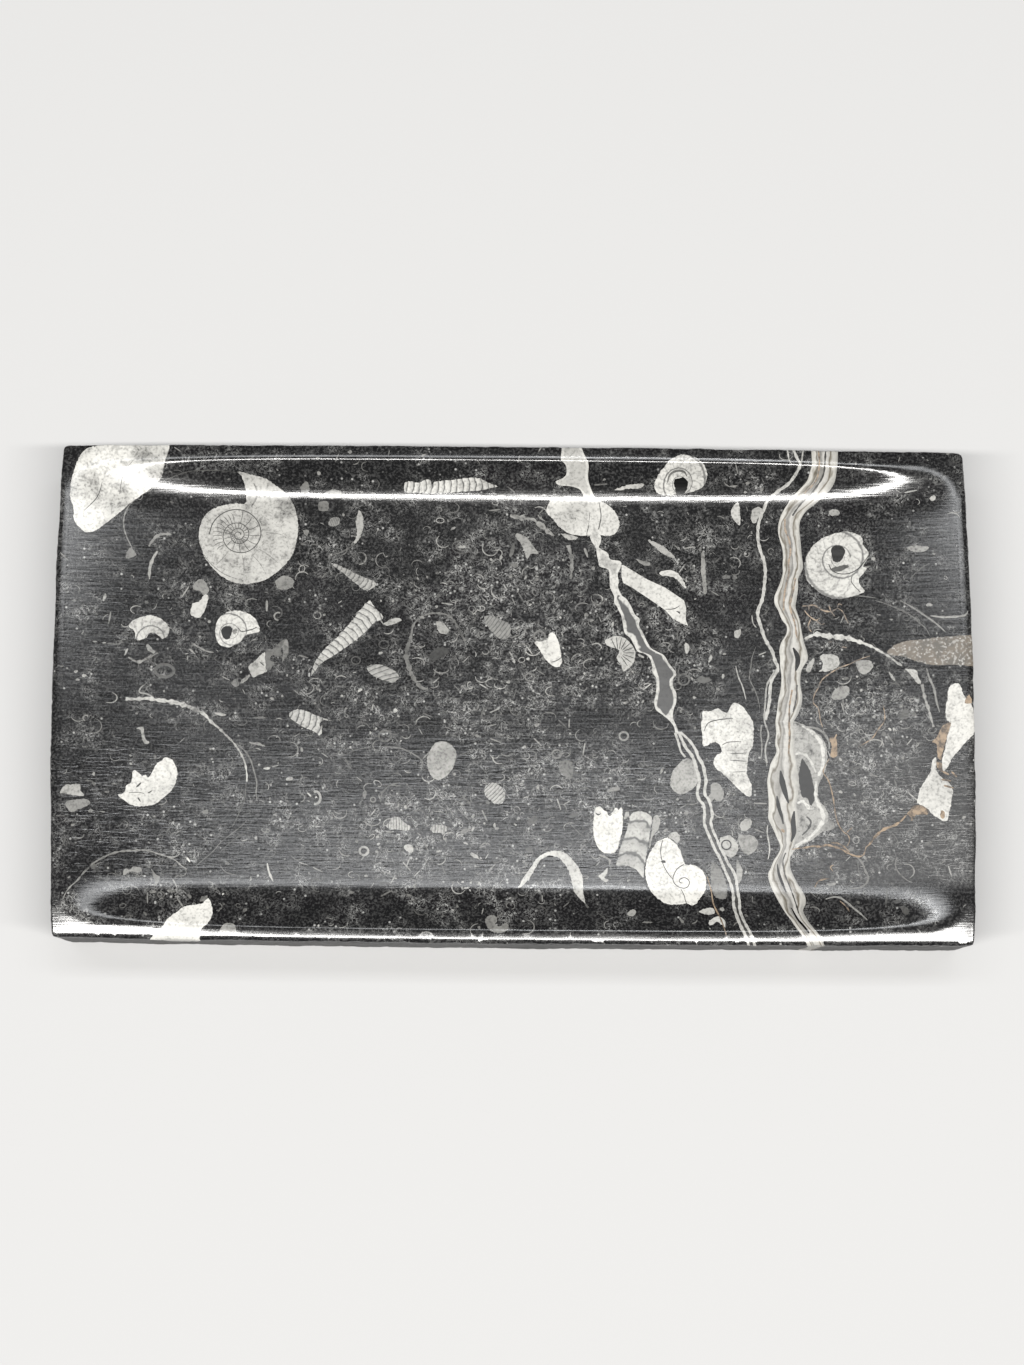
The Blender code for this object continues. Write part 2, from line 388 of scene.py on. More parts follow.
# Small crumbs of shell: x, y, long, wide, turn, tone
crumbs = [
    (-74.4, 16.9, 1.4, 0.5, 80, 0.6), (-75.8, 16.8, 0.5, 0.4, 0, 0.4), (-80.9, 17.6, 0.6, 0.4, 0, 0.4),
    (-60.5, 19.5, 1, 0.25, 60, 0.5), (-49.5, 17.2, 0.8, 0.5, 20, 0.3), (-22, 17.2, 0.5, 0.5, 0, 0.6),
    (-24.2, 17.2, 0.4, 0.4, 0, 0.6), (-17.8, 19.2, 0.5, 0.4, 0, 0.5), (-14, 16.2, 0.5, 0.5, 0, 0.6),
    (-36, 42.9, 0.8, 0.5, 0, 0.5), (-30.1, 44.1, 0.9, 0.6, 0, 0.5), (-16.5, 43.6, 1, 0.5, 20, 0.5),
    (-11, 30.7, 1.2, 0.4, 30, 0.5), (0.3, 24, 1.1, 0.9, 0, 0.4), (-0.1, 26.7, 2.4, 0.8, 70, 0.35),
    (39.2, 22.2, 1.4, 0.9, 0, 0.35), (40.8, 22.1, 1, 0.8, 0, 0.35), (43.4, 39.4, 0.8, 0.5, 0, 0.5),
    (43, 37.8, 0.6, 0.5, 0, 0.5), (46, 38.3, 0.8, 0.5, 40, 0.5), (77.2, 36.7, 1.2, 0.9, 0, 0.7),
    (77, 26.3, 0.6, 0.4, 0, 0.5), (75.8, 16.8, 1, 0.7, 0, 0.6), (-80.6, 3.4, 0.4, 0.3, 0, 0.5),
    (-79, 2.9, 0.7, 0.5, 0, 0.6), (-77.6, 2.2, 0.9, 0.6, 20, 0.6), (-78.7, 1.4, 0.7, 0.5, 0, 0.5),
    (-75.9, 8.6, 0.9, 0.25, 0, 0.5), (-74.3, 8.4, 0.8, 0.25, 0, 0.5), (-70.3, 6.9, 1.3, 0.4, 65, 0.6),
    (-55.5, 12.9, 0.7, 0.5, 30, 0.5), (-57.2, 10.1, 0.5, 0.4, 0, 0.6), (-58.5, 7.3, 1.4, 0.35, -45, 0.5),
    (-59.3, 6.1, 0.9, 0.3, 80, 0.5), (-68.2, -4.4, 0.6, 0.4, 0, 0.5), (-53.2, -4.2, 2.2, 0.5, -13, 0.6),
    (-46.6, -9.6, 2.8, 0.4, -12, 0.5), (-54.9, -10.6, 0.5, 0.4, 0, 0.5), (-54.6, -12.5, 0.5, 0.4, 0, 0.5),
    (-46.1, -13.4, 0.5, 0.4, 0, 0.6), (-49.9, -8.1, 0.4, 0.4, 0, 0.5), (-51.5, -5, 0.4, 0.4, 0, 0.5),
    (-63.4, -0.2, 0.4, 0.4, 0, 0.5), (-69.1, -13.7, 0.5, 0.4, 0, 0.6), (-69.2, -12.2, 0.4, 0.4, 0, 0.5),
    (-44.6, -14, 1.2, 0.5, 10, 0.7), (-43.2, -13.6, 1.6, 0.2, 15, 0.5), (-46.1, -4.7, 2.4, 0.4, 5, 0.35),
    (-27.9, 0.6, 0.9, 0.6, 40, 0.7), (-31.2, -0.5, 0.5, 0.5, 0, 0.6), (-30.4, -2.8, 0.5, 0.4, 0, 0.5),
    (-25.6, -2.5, 1.1, 0.35, 80, 0.6), (-21.4, -3.1, 0.9, 0.7, 0, 0.7), (-20.9, -4.1, 0.6, 0.5, 0, 0.6),
    (-22.1, -3.4, 0.5, 0.4, 0, 0.5), (-20.4, -8.7, 0.4, 0.35, 0, 0.7), (-29.2, -9, 0.35, 0.3, 0, 0.7),
    (-38.4, -6.6, 0.3, 0.25, 0, 0.6), (-41.2, 3.2, 0.5, 0.4, 0, 0.6), (-38.4, -10.5, 0.9, 0.5, 80, 0.5),
    (-39.5, 0.1, 1.5, 0.2, -40, 0.5), (-24.2, 7.5, 0.7, 0.6, 0, 0.6), (-34.6, 14.5, 0.6, 0.4, 0, 0.5),
    (-38.3, 6.7, 1.8, 0.3, -15, 0.4), (-40.6, -15.9, 1.2, 0.8, 0, 0.6), (-10.6, -14.7, 0.6, 0.5, 0, 0.6),
    (-16.6, 14.2, 0.8, 0.7, 0, 0.5), (-13.6, 7.5, 3.4, 2.2, 30, 0.2), (34.8, 3.1, 2.2, 1.4, 0, 0.35),
    (38.4, 3.8, 0.8, 0.5, 80, 0.6), (32.7, 3.3, 0.5, 0.4, 0, 0.6), (33.1, -0.2, 0.6, 0.5, 0, 0.6),
    (37.4, 1.4, 0.7, 0.5, 0, 0.5), (13.1, 4.1, 0.5, 0.4, 0, 0.7), (14.6, 1.8, 0.45, 0.35, 0, 0.7),
    (20.5, -1.3, 0.6, 0.5, 0, 0.6), (18.3, 13.2, 1.2, 0.4, 80, 0.6), (14.5, 13.9, 0.6, 0.5, 0, 0.5),
    (38.7, 7.9, 0.6, 0.5, 0, 0.5), (27.1, -13.7, 1.3, 0.5, 60, 0.5), (36.1, 7, 1.6, 0.5, 62, 0.6),
    (23.4, 7.4, 1.2, 0.5, -25, 0.6), (57.2, 1.6, 0.8, 0.6, 0, 0.3), (60.6, 3.4, 0.9, 0.7, 0, 0.35),
    (62.5, -1.2, 0.9, 0.7, 0, 0.35), (53.5, 2.8, 0.45, 0.35, 0, 0.6), (64.4, -1.2, 0.45, 0.35, 0, 0.6),
    (62.7, 2.5, 0.3, 0.25, 0, 0.6), (68.9, 3.6, 2.2, 0.4, -62, 0.6), (70.9, -3.4, 2, 1.6, 20, 0.3),
    (72.6, -3.4, 0.8, 0.8, 0, 0.35), (67.2, -6.9, 0.9, 0.8, 0, 0.35), (69, 14.2, 0.5, 0.4, 0, 0.5),
    (66.8, 15.1, 0.6, 0.4, 0, 0.5), (-76.1, -22.5, 0.8, 0.7, 0, 0.45), (-73.3, -19, 0.9, 0.25, 5, 0.6),
    (-72, -17.5, 1.2, 0.15, 0, 0.5), (-76.4, -17.1, 1.4, 0.2, 0, 0.4), (-74, -22.6, 0.9, 0.2, 0, 0.5),
    (-81.3, -23.6, 1.6, 0.2, 0, 0.4), (-79.5, -24.4, 1.5, 0.15, 0, 0.4), (-55.7, -22.2, 1.4, 0.7, 10, 0.4),
    (-64.8, -23.2, 0.5, 0.4, 0, 0.5), (-75.5, -32.6, 1.1, 0.9, 0, 0.35), (-65, -36.9, 1.4, 0.5, 10, 0.45),
    (-61.8, -36.7, 1.3, 0.5, 5, 0.5), (-58.4, -37.6, 0.9, 0.6, -50, 0.4), (-66.2, -40.9, 0.9, 0.4, -60, 0.4),
    (-58.65, -31, 0.9, 0.4, -55, 0.85), (-47.5, -34.2, 0.9, 0.4, 75, 0.55), (-52.4, -37.1, 0.5, 0.3, 30, 0.8),
    (-51.7, -31.5, 0.8, 0.6, 0, 0.35), (-52.2, -38.9, 0.5, 0.4, 0, 0.4), (-52.9, -39.9, 0.8, 0.3, 70, 0.4),
    (-26.9, -18.6, 1.7, 0.6, 85, 0.4), (-20.8, -20.5, 0.8, 0.3, 85, 0.6), (-8.7, -25.1, 1.5, 0.9, 10, 0.45),
    (-7.2, -24.7, 0.9, 0.4, 75, 0.6), (-3.3, -24, 0.9, 0.5, 80, 0.6), (-8.5, -27.3, 0.9, 0.4, -25, 0.6),
    (-13.5, -28.8, 0.8, 0.4, 10, 0.6), (-24.5, -26.3, 0.7, 0.5, 0, 0.6), (-24.4, -27.6, 0.6, 0.5, 0, 0.6),
    (-24.2, -28.2, 0.5, 0.4, 0, 0.5), (-24.7, -29, 0.6, 0.5, 0, 0.5), (-26.6, -33.4, 0.6, 0.5, 0, 0.6),
    (-21.2, -33.8, 0.4, 0.3, 20, 0.6), (-36.9, -33, 0.4, 0.35, 0, 0.5), (-29.2, -36.4, 1, 0.4, -20, 0.4),
    (-18.8, -36.9, 1, 0.5, 20, 0.5), (-18.1, -37.6, 0.6, 0.4, -10, 0.5), (-9.1, -34.3, 0.4, 0.35, 0, 0.7),
    (-7.6, -34.4, 0.5, 0.4, 0, 0.6), (-8.4, -35.4, 1, 0.4, 5, 0.6), (-23, -34.7, 2.2, 0.5, -10, 0.25),
    (-35, -42.6, 0.5, 0.4, 0, 0.7), (-10.9, -39.4, 0.6, 0.3, -35, 0.7), (3.6, -23, 1.9, 1.5, 30, 0.28),
    (31.5, -21.4, 0.9, 0.7, 0, 0.5), (32.8, -24.5, 0.6, 0.5, 0, 0.4), (18.4, -17.2, 2, 0.9, 15, 0.5),
    (30.4, -41, 1.1, 0.5, -60, 0.45), (24.2, -41.4, 1.8, 0.35, 0, 0.45), (37.8, -38.9, 0.9, 0.7, 10, 0.6),
    (57.6, -34.3, 1.5, 0.6, 5, 0.5), (61.1, -28, 1.1, 0.8, 20, 0.4), (64.4, -29.4, 0.6, 0.4, 0, 0.5),
    (74.8, -27, 1.7, 0.5, 25, 0.35), (70.6, -39, 1.8, 1.2, -30, 0.3), (69.3, -37.4, 1.2, 0.9, 60, 0.25),
    (27.8, -24.6, 0.8, 0.6, 30, 0.5), (13.4, -38.5, 1.1, 0.4, -50, 0.35), (-61.5, -17.9, 0.5, 0.4, 0, 0.2),
    (3, -28.4, 1.2, 1, 0, 0.28), (11, -22, 1.6, 0.9, 10, 0.28), (4.4, -5.5, 1, 0.6, 30, 0.5),
    (-6.5, -7.6, 0.9, 0.5, -20, 0.5), (-0.8, 2.4, 0.8, 0.6, 0, 0.6), (-9.2, 1.5, 0.6, 0.5, 0, 0.5),
    (2.2, -9.6, 0.6, 0.5, 0, 0.6), (6.4, -1, 0.7, 0.3, 60, 0.5),
]
for x, y, long, wide, turn, tone in crumbs:
    lump(x, y, long, wide, turn, tone)

# Small rings: x, y, long, wide, width of the line, turn, tone, share of the round, start
rings = [
    (-63.4, 3.6, 3.4, 2.3, 0.55, 0, 0.3, 1, 0), (-43, 14.1, 1.4, 1.4, 0.3, 0, 0.5, 0.6, 60),
    (-77.1, -5.6, 1, 1, 0.25, 0, 0.5, 0.6, 40), (-23.3, -7.8, 2.2, 2, 0.35, 0, 0.35, 1, 0),
    (-28.7, 6.1, 1.6, 1.4, 0.2, 0, 0.3, 1, 0), (-23.6, 9.1, 1.8, 1.5, 0.2, 0, 0.3, 1, 0),
    (4.9, 10.9, 2, 1.8, 0.35, 0, 0.4, 1, 0), (31.2, 3.1, 2, 2, 0.3, 0, 0.4, 1, 0),
    (20.2, -7.4, 1.6, 1.5, 0.35, 0, 0.5, 1, 0), (8, -10.8, 1.6, 1.5, 0.3, 0, 0.45, 1, 0),
    (61.5, -10.8, 5.2, 5, 0.3, 0, 0.26, 0.8, 30), (-9.4, 27.3, 2.2, 1.3, 0.2, 0, 0.35, 1, 0),
    (-9.4, 27.3, 3.6, 2.4, 0.2, 0, 0.3, 0.9, 20), (-27, -28.9, 1.6, 1.5, 0.38, 0, 0.6, 1, 0),
    (-35.8, -19.3, 1.7, 2.3, 0.45, 0, 0.6, 0.62, -110), (-63.5, -37.4, 1.2, 1.1, 0.2, 0, 0.35, 1, 0),
    (-25.4, -19.5, 0.9, 0.9, 0.22, 0, 0.45, 1, 0), (-35.5, -35.2, 1.8, 2.4, 0.25, 20, 0.28, 0.7, 20),
    (-4.4, -3.6, 2.6, 2.2, 0.3, 20, 0.35, 0.85, 40), (3.1, 3.3, 1.7, 1.4, 0.25, 0, 0.4, 1, 0),
]
for x, y, long, wide, width, turn, tone, share, start in rings:
    ring(x, y, long, wide, width, turn, tone, 0.5, share, start)
lump(-9.4, 27.3, 1.2, 0.6, 0, 0.6)
lump(-35.7, -19.2, 0.4, 0.4, 0, 0.75)
stroke([(-37.3, -18.4), (-36.6, -19.1)], 0.3, 0.75)
stroke([(-28.9, -29.1), (-27.8, -29.1)], 0.2, 0.4)

print(len(marks), "fine marks")

# Larger pieces of shell: tone, mottle, then the outline
shells = [
    (0.9, 0.7, -64.3, 46.6, -64.6, 40.6, -65.3, 38.8, -67.5, 36.8, -70.2, 34.8, -72.5, 32.6, -74.8, 30.6,
     -76.5, 29.2, -77.8, 28.9, -79, 29.4, -80.3, 31, -80.6, 33.5, -81.3, 35.5, -81.2, 38.5, -80.6, 41.5,
     -79.8, 43.6, -78.5, 44.8, -76.6, 45.3, -75, 46.6),
    (0.45, 0.6, -70.2, 26.3, -69, 25, -70.4, 24.3, -70.9, 24.6),
    (0.75, 0.4, -58.5, 16.2, -57.5, 16.6, -56.5, 17.8, -55.8, 17.6, -56.3, 15.2, -57.2, 13.7, -58.4, 13.8,
     -59, 14.5),
    (0.5, 0.8, -58.4, 20, -57.2, 20.8, -56.2, 20, -55.7, 18.6, -56.6, 17.8, -57.4, 18.6, -58.5, 18.8),
    (0.45, 0.7, -38.9, 37, -39.3, 38, -38.2, 39, -37.6, 38, -37.9, 36.9),
    (0.55, 0.6, -35, 36.6, -34.5, 37.2, -33.2, 37.6, -32, 37.4, -31.5, 36.8, -32, 36.2, -34, 36),
    (0.42, 0.7, -35.8, 35.3, -34.2, 35.4, -34.2, 33.8, -35.8, 33.9),
    (0.62, 0.4, -28.4, 33.9, -27.7, 32.8, -27.6, 31.3, -27.9, 29.6, -28.4, 28.4, -29.3, 27.8, -28.7, 29.6,
     -29, 31.5, -28.8, 32.6),
    (0.45, 0.4, -38.7, 30.1, -37.6, 30.1, -38.1, 29.1),
    (0.52, 0.7, -43.6, 20.5, -42.6, 21.5, -41.2, 21.6, -40.2, 20.8, -40.5, 19.6, -42, 19, -43.2, 19.3),
    (0.66, 0.45, 8.9, 29.9, 10, 29.8, 12, 29.3, 11.5, 28.9, 10.2, 28.8),
    (0.5, 0.45, 4.6, 33.4, 6, 32.2, 5, 32.6),
    (0.6, 0.5, 0.4, 29.4, 0.8, 29.9, 2.5, 29.2, 3.6, 27.8, 4.8, 26.2, 3.4, 26.2, 2.6, 25.2, 2, 27, 1.2, 28.4),
    (0.72, 0.4, 18.8, 38, 20.5, 38.7, 22.5, 39, 24.2, 39.1, 23.8, 38.4, 21.5, 38.2, 19.5, 37.9),
    (0.62, 0.5, 24.9, 28.9, 26.5, 28.4, 28.2, 27.4, 29.8, 25.9, 29.4, 25.6, 27.8, 26.3, 26.2, 27.6),
    (0.5, 0.5, 22.6, 25.4, 24, 25, 25.2, 24.8, 25.1, 24.1, 23.8, 24.4),
    (0.78, 0.3, 27, 22.9, 28.6, 23.4, 30, 23, 31, 22, 31.7, 20.6, 31.8, 20, 31.2, 20.4, 30.4, 21.4, 29.6, 21.9,
     28.4, 22.3, 27.4, 22.3),
    (0.55, 0.5, 34.8, 26.6, 35.2, 26.8, 35.4, 24, 35.5, 21, 35.6, 19.2, 35.1, 19, 34.9, 21, 34.6, 23.5),
    (0.55, 0.5, 39, 39.5, 40, 38.9, 41.5, 39, 40.8, 38.6, 39.6, 38.8),
    (0.78, 0.4, 40.3, 34.2, 40.9, 35.5, 41.7, 35.9, 42, 34, 41.9, 31.8, 41.2, 32.3, 40.5, 33.2),
    (0.7, 0.5, 44, 33, 44.2, 34.6, 45.6, 35.2, 46, 34.4, 45.3, 33.2, 44.9, 32.2, 44.3, 32.2),
    (0.6, 0.5, 58.2, 34.2, 59, 34.8, 60.1, 34.6, 60.2, 33.8, 59, 33.6),
    (0.62, 0.6, 72.2, 27.5, 73.4, 27.9, 74.8, 27.8, 76.1, 27.6, 75.4, 26.8, 74.2, 26.7, 73.2, 26.9),
    (0.7, 0.6, -48.2, 4.7, -46.9, 5.9, -45.2, 7.5, -44.5, 5.6, -44.9, 3.9, -46.6, 3.1, -47.5, 2.8),
    (0.36, 1, -45.2, 7.5, -43.7, 8.2, -42.1, 9.8, -41.6, 9.6, -42.4, 8, -42.2, 7, -43, 6.6, -44, 6.9,
     -44.4, 5.9, -43.6, 5.4, -44.9, 3.9),
    (0.46, 0.8, -42.2, 8.6, -41.3, 9.9, -41, 7.6, -41.5, 6.4, -42.2, 5.6, -42, 6.8, -41.9, 7.7),
    (0.55, 0.6, -49.6, 1.5, -48.6, 2.1, -47.9, 3.2, -48.5, 3, -49.4, 2.2),
    (0.45, 0.7, -51.3, 1.6, -50.6, 2.4, -50, 1.8, -49.9, 1.2, -50.6, 0.9),
    (0.62, 0.5, -68.2, -7.2, -67.1, -6.8, -66.9, -7.2, -66.6, -9, -65.8, -9.6, -66.6, -10, -67.1, -9.2,
     -67.5, -7.5),
    (0.86, 0.45, -63, -12.4, -61.8, -12.8, -61.1, -14, -60.8, -15.2, -61, -16.5, -61.3, -17.5, -62, -18.6,
     -63, -19.6, -63.8, -20.3, -65, -21.1, -66.8, -21.4, -68, -21.4, -69.2, -21.1, -70, -20.5, -70.8, -20,
     -71.3, -19.4, -70.4, -19.2, -70, -18.6, -69.9, -17.7, -69, -17.1, -68.8, -16.2, -68.6, -14.9, -67.7, -15.3,
     -67.1, -15.9, -66.4, -15.6, -66, -16.2, -65.2, -14.9, -64.6, -13.7, -63.7, -13),
    (0.66, 0.45, -23.7, 12.9, -22.7, 13.6, -21.2, 14.1, -20.4, 13.6, -21.4, 13.1, -22.7, 12.6),
    (0.6, 0.5, -14, 13.5, -13, 13.4, -12.1, 12.5, -11.7, 11.7, -12.3, 11.1, -13.3, 11.4, -13.9, 12.3),
    (0.62, 0.6, -14, -9, -14.9, -10, -15.5, -11.5, -15.6, -13.1, -15.1, -14.6, -14.3, -15.5, -13.3, -15.8,
     -12.4, -15.3, -11.2, -14, -10.5, -12.5, -10.3, -11, -10.9, -9.6, -12.4, -8.7),
    (0.85, 0.35, 4, 9.8, 5.6, 10, 6.4, 10.6, 6.7, 11.3, 7.4, 11.6, 8.1, 10.6, 8.6, 8.9, 8.9, 6.9, 8.9, 5.9,
     8.3, 5.2, 7.4, 5.4, 6.5, 6.1, 5.6, 7.2, 4.8, 8.6),
    (0.72, 0.4, 25.4, 4.7, 26.1, 3.6, 26.3, 4.6, 25.8, 5.4),
    (0.66, 0.5, 31.4, 9.7, 32.1, 9.7, 32.3, 8.6, 31.7, 7.9),
    (0.62, 0.5, 40.5, 11.9, 41.7, 12.5, 41.5, 11, 40.8, 10.9),
    (0.45, 0.7, 8.6, -12.2, 10.7, -12.2, 10.9, -15, 9.8, -15.2, 8.6, -14),
    (0.62, 0.6, 31.7, -11.4, 30.4, -12.2, 29.2, -13.7, 28.7, -15.2, 28.7, -16.6, 29.3, -17.4, 30.1, -18,
     30.9, -18, 31.9, -17.5, 32.8, -16.9, 33.4, -16.2, 33.7, -15.2, 33.5, -13.6, 33, -12.2),
    (0.52, 0.5, 36, -16.2, 37, -15.8, 38, -16.8, 38.3, -18, 37.9, -19, 37.2, -19.3, 36.6, -18.8, 36, -19.4,
     35.4, -19, 35.6, -18.2, 36, -17.8),
    (0.85, 0.65, 34.5, -4, 34.6, -2.8, 35.9, -2.7, 37.4, -2.2, 38.4, -2.8, 39.2, -2.8, 39.9, -1.5, 40.4, -1.1,
     41.8, -1.7, 42.6, -2.8, 43.4, -4, 43.8, -5.5, 43.8, -7.2, 43.6, -9, 42.9, -10.5, 42.7, -12.2, 42.5, -14.1,
     42.9, -15.2, 43.4, -16.8, 43.1, -18.4, 41.6, -17.6, 40.4, -16.4, 39.2, -15.2, 38, -14, 36.8, -13.1,
     36.5, -11.9, 37.1, -10.8, 37.9, -10.3, 37.7, -9, 36.6, -8.4, 35.4, -9, 34.6, -9, 34.5, -6.9, 34.3, -5.2),
    (0.62, 0.9, 50.9, -4.6, 53, -5.2, 54.6, -6.2, 56.2, -7.6, 57, -9.6, 57, -12.4, 56.2, -14.6, 55.4, -16.4,
     55.4, -18.8, 56.6, -20.4, 57.2, -22.4, 56.2, -24.6, 54.2, -26.2, 51.6, -27.6, 50.2, -28.2, 50.6, -24,
     51.2, -18, 51.2, -12, 50.8, -7),
    (0.1, 0.6, 52.5, -11.4, 53.4, -12.6, 54.1, -14.3, 54.7, -17.4, 54.6, -19, 53.9, -20, 53.4, -18.6,
     52.4, -18.3, 51.9, -15, 52.1, -12.8),
    (0.75, 0.5, 71.3, 5, 73.2, 4.7, 73.5, 3.6, 74, 2.5, 73.5, 2.2, 72.6, 3.2, 71.8, 4.4),
    (0.7, 0.7, 56, 7.3, 56.5, 7.8, 57.6, 7.9, 59, 7.6, 59.5, 6.6, 59.3, 5.7, 58.4, 5.1, 57.4, 4.7, 55.7, 4.7,
     56.3, 5.1, 56.5, 6.3),
    (0.66, 0.5, 53.8, 6, 55, 7.2, 54.7, 5.7, 54.1, 4.5, 53.5, 4.8),
    (0.55, 0.6, 58, 0.2, 58.6, 1.3, 60, 2, 61.1, 1.7, 61.1, 0.6, 60.3, -0.3, 59, -0.6, 58.2, -0.4),
    (0.58, 0.6, 62.5, 6.3, 63.5, 6.7, 65, 6.6, 65.6, 5.7, 65, 4.7, 63.8, 4.1, 62.9, 4.8),
    (0.66, 0.6, -81.4, -19.3, -80.5, -18, -79.3, -17.8, -77.9, -17.8, -77.9, -18.8, -77.3, -19.8, -78.8, -19.8,
     -80.4, -19.6),
    (0.5, 0.7, -80.4, -21, -79, -20.6, -76.8, -20.4, -76.2, -21.3, -78, -22.2, -79.4, -22.9, -80.1, -22.2),
    (0.55, 0.5, -70.3, -34, -70.1, -32.9, -69.1, -33, -68.4, -32.4, -67.2, -32.6, -66.9, -33.2, -68, -33.5,
     -69, -33.3, -69.7, -33.9),
    (0.45, 0.6, -65.3, -32.8, -64.6, -33.6, -63.8, -34.2, -63.9, -34.9, -64.4, -35.6, -64.7, -36.1, -64.7, -35,
     -65, -34),
    (0.92, 0.3, -65.4, -46.6, -64.5, -44.4, -63.2, -43.4, -62.3, -42, -61.5, -41.2, -60.4, -40.4, -59.3, -39.5,
     -58, -39.2, -56.4, -38.9, -55.9, -38.7, -55, -37.9, -54.4, -39.2, -54.1, -40.4, -54.4, -41.5, -54.9, -42.5,
     -55.6, -43, -56.3, -43.9, -56.5, -44.5, -57.2, -46.6),
    (0.45, 0.5, -56.5, -38.5, -56.2, -37.6, -55.2, -37.5, -55.4, -38.2),
    (0.66, 0.5, -19.8, -28, -19.2, -27.6, -18.3, -27.8, -18, -28.6, -18.3, -29.1, -19, -28.9, -19.6, -28.5),
    (0.66, 0.5, -7.8, -29.2, -7.2, -29, -6.3, -29.6, -6.2, -30, -7.2, -29.8),
    (0.78, 0.4, 1, -35.3, 1.6, -34, 2.5, -32.6, 3.4, -31.4, 4, -30.4, 5, -29.4, 6.4, -28.7, 7.8, -28.5,
     9.2, -28.8, 10.4, -29.6, 11.2, -30.6, 12, -31.6, 12.6, -33, 12.7, -34.5, 12.8, -36, 13, -37.4, 13.1, -38.1,
     12.5, -37.4, 11.6, -36.6, 11, -35.5, 10.8, -34.5, 10.4, -33, 9.8, -31.5, 9, -30.4, 8, -29.6, 6.6, -29.4,
     5.5, -29.8, 4.6, -30.8, 3.9, -32, 3.2, -33.2, 2.4, -34.2, 1.4, -35.2),
    (0.86, 0.35, 14.8, -21.2, 14.7, -22.2, 14.6, -23.6, 14.6, -25, 14.9, -26.5, 15.4, -27.8, 16.2, -28.6,
     17.2, -28.9, 18.4, -28.8, 18.9, -28.2, 19.3, -26.9, 19.7, -25.4, 19.9, -23.8, 19.9, -22.2, 19.8, -20.5,
     19.2, -20.9, 18.6, -20.6, 18.2, -21.3, 17.5, -21.8, 17, -21.3, 16.4, -20.9, 15.9, -20.4, 15.3, -20.5),
    (0.6, 0.5, 20.5, -21.2, 21.1, -21.3, 20.7, -22.4, 20.2, -22.6),
    (0.58, 0.5, 25.6, -22.2, 26.2, -21.8, 26.7, -22.6, 26.7, -23.5, 26.3, -24.6, 25.5, -25.6, 24.9, -27.6,
     24.6, -28.6, 24.7, -27, 25.2, -25.2, 25.3, -23.6),
    (0.7, 0.5, 15.5, -33, 16.3, -32.4, 17.1, -31.5, 17.2, -32.4, 16.6, -33.2, 17.3, -33.7, 16.9, -34.1,
     16, -33.6),
    (0.66, 0.4, 28.2, -25.6, 28.9, -25, 29.7, -24.9, 30.3, -25.7, 30.2, -26.6, 29.7, -26.9, 29, -26.3,
     28.3, -25.9),
    (0.66, 0.6, 37.5, -26.2, 38.6, -25.6, 39.5, -25.6, 40.4, -26.6, 40.8, -27.8, 40.4, -29, 39.6, -29.5,
     38.8, -29.2, 38, -28.2),
    (0.6, 0.6, 40.6, -30, 41.4, -31.2, 41.6, -32.2, 41.3, -33.6, 40.9, -34.2, 40.5, -32.6),
    (0.45, 0.6, 36, -30.8, 37.2, -31, 38.3, -33, 38.8, -35.2, 38.4, -37, 36.6, -36.6, 35.9, -34.2),
    (0.62, 0.5, 41.2, -23.6, 41.7, -22.7, 42.8, -22.4, 43.4, -23, 43, -24, 42.1, -24.7, 41.4, -24.4),
    (0.55, 0.9, 40.8, -25.9, 42.2, -25.4, 43.9, -25.8, 44.4, -27.4, 43.2, -28.8, 41.8, -28.6),
    (0.6, 0.4, 20.6, -39.9, 21.2, -39.2, 21.9, -39.1, 22.3, -39.4, 22, -40.1, 21.2, -40.3),
    (0.74, 0.4, 33.6, -39.4, 34.4, -38.9, 35.8, -38.6, 36.3, -38.9, 36.5, -39.6, 35.6, -39.9, 34.6, -39.8),
    (0.8, 0.4, 35.3, -41.3, 36.2, -40.5, 37.4, -40.3, 38.2, -41, 38.2, -42.2, 37.7, -41.8, 36.8, -41.2,
     35.8, -41.9, 35.4, -41.8),
    (0.5, 0.8, 56.8, -23, 57.5, -22.7, 58.2, -23.5, 57.8, -24.4, 56.7, -24.6, 55.9, -24.2),
    (0.84, 0.45, 78.8, 1.3, 79.4, 1.9, 80.4, 2.2, 81, 1.3, 81.3, 0.1, 82.6, -1.6, 83.9, -4.3, 83.7, -6.1,
     82.4, -7.8, 81.2, -9, 80.3, -10.2, 79.1, -11.6, 78.2, -13.4, 77.5, -13.7, 77.4, -11.9, 77.9, -9.9,
     78.4, -7.5, 78.8, -5.2, 78.2, -4.3, 78.2, -2.2, 78.5, -0.5),
    (0.8, 0.45, 76.3, -11.4, 75.6, -12.2, 75.4, -13.7, 74.6, -15.2, 73.6, -16.8, 73, -18.7, 73, -19.6,
     74, -20.2, 75, -20.9, 75.4, -21.6, 76.6, -22.4, 77.6, -23, 78.2, -22.8, 78.4, -21.7, 78.8, -20.2,
     79, -18.6, 79.2, -17.4, 78.5, -16, 77.1, -14.9, 76.4, -13.6),
    (0.55, 0.5, -52.6, -43.9, -52.1, -42.7, -51.2, -42.3, -50.2, -42.6, -49.8, -43.4, -50.2, -44.2),
]
for tone, mottle, *points in shells:
    blob(points, tone, mottle)

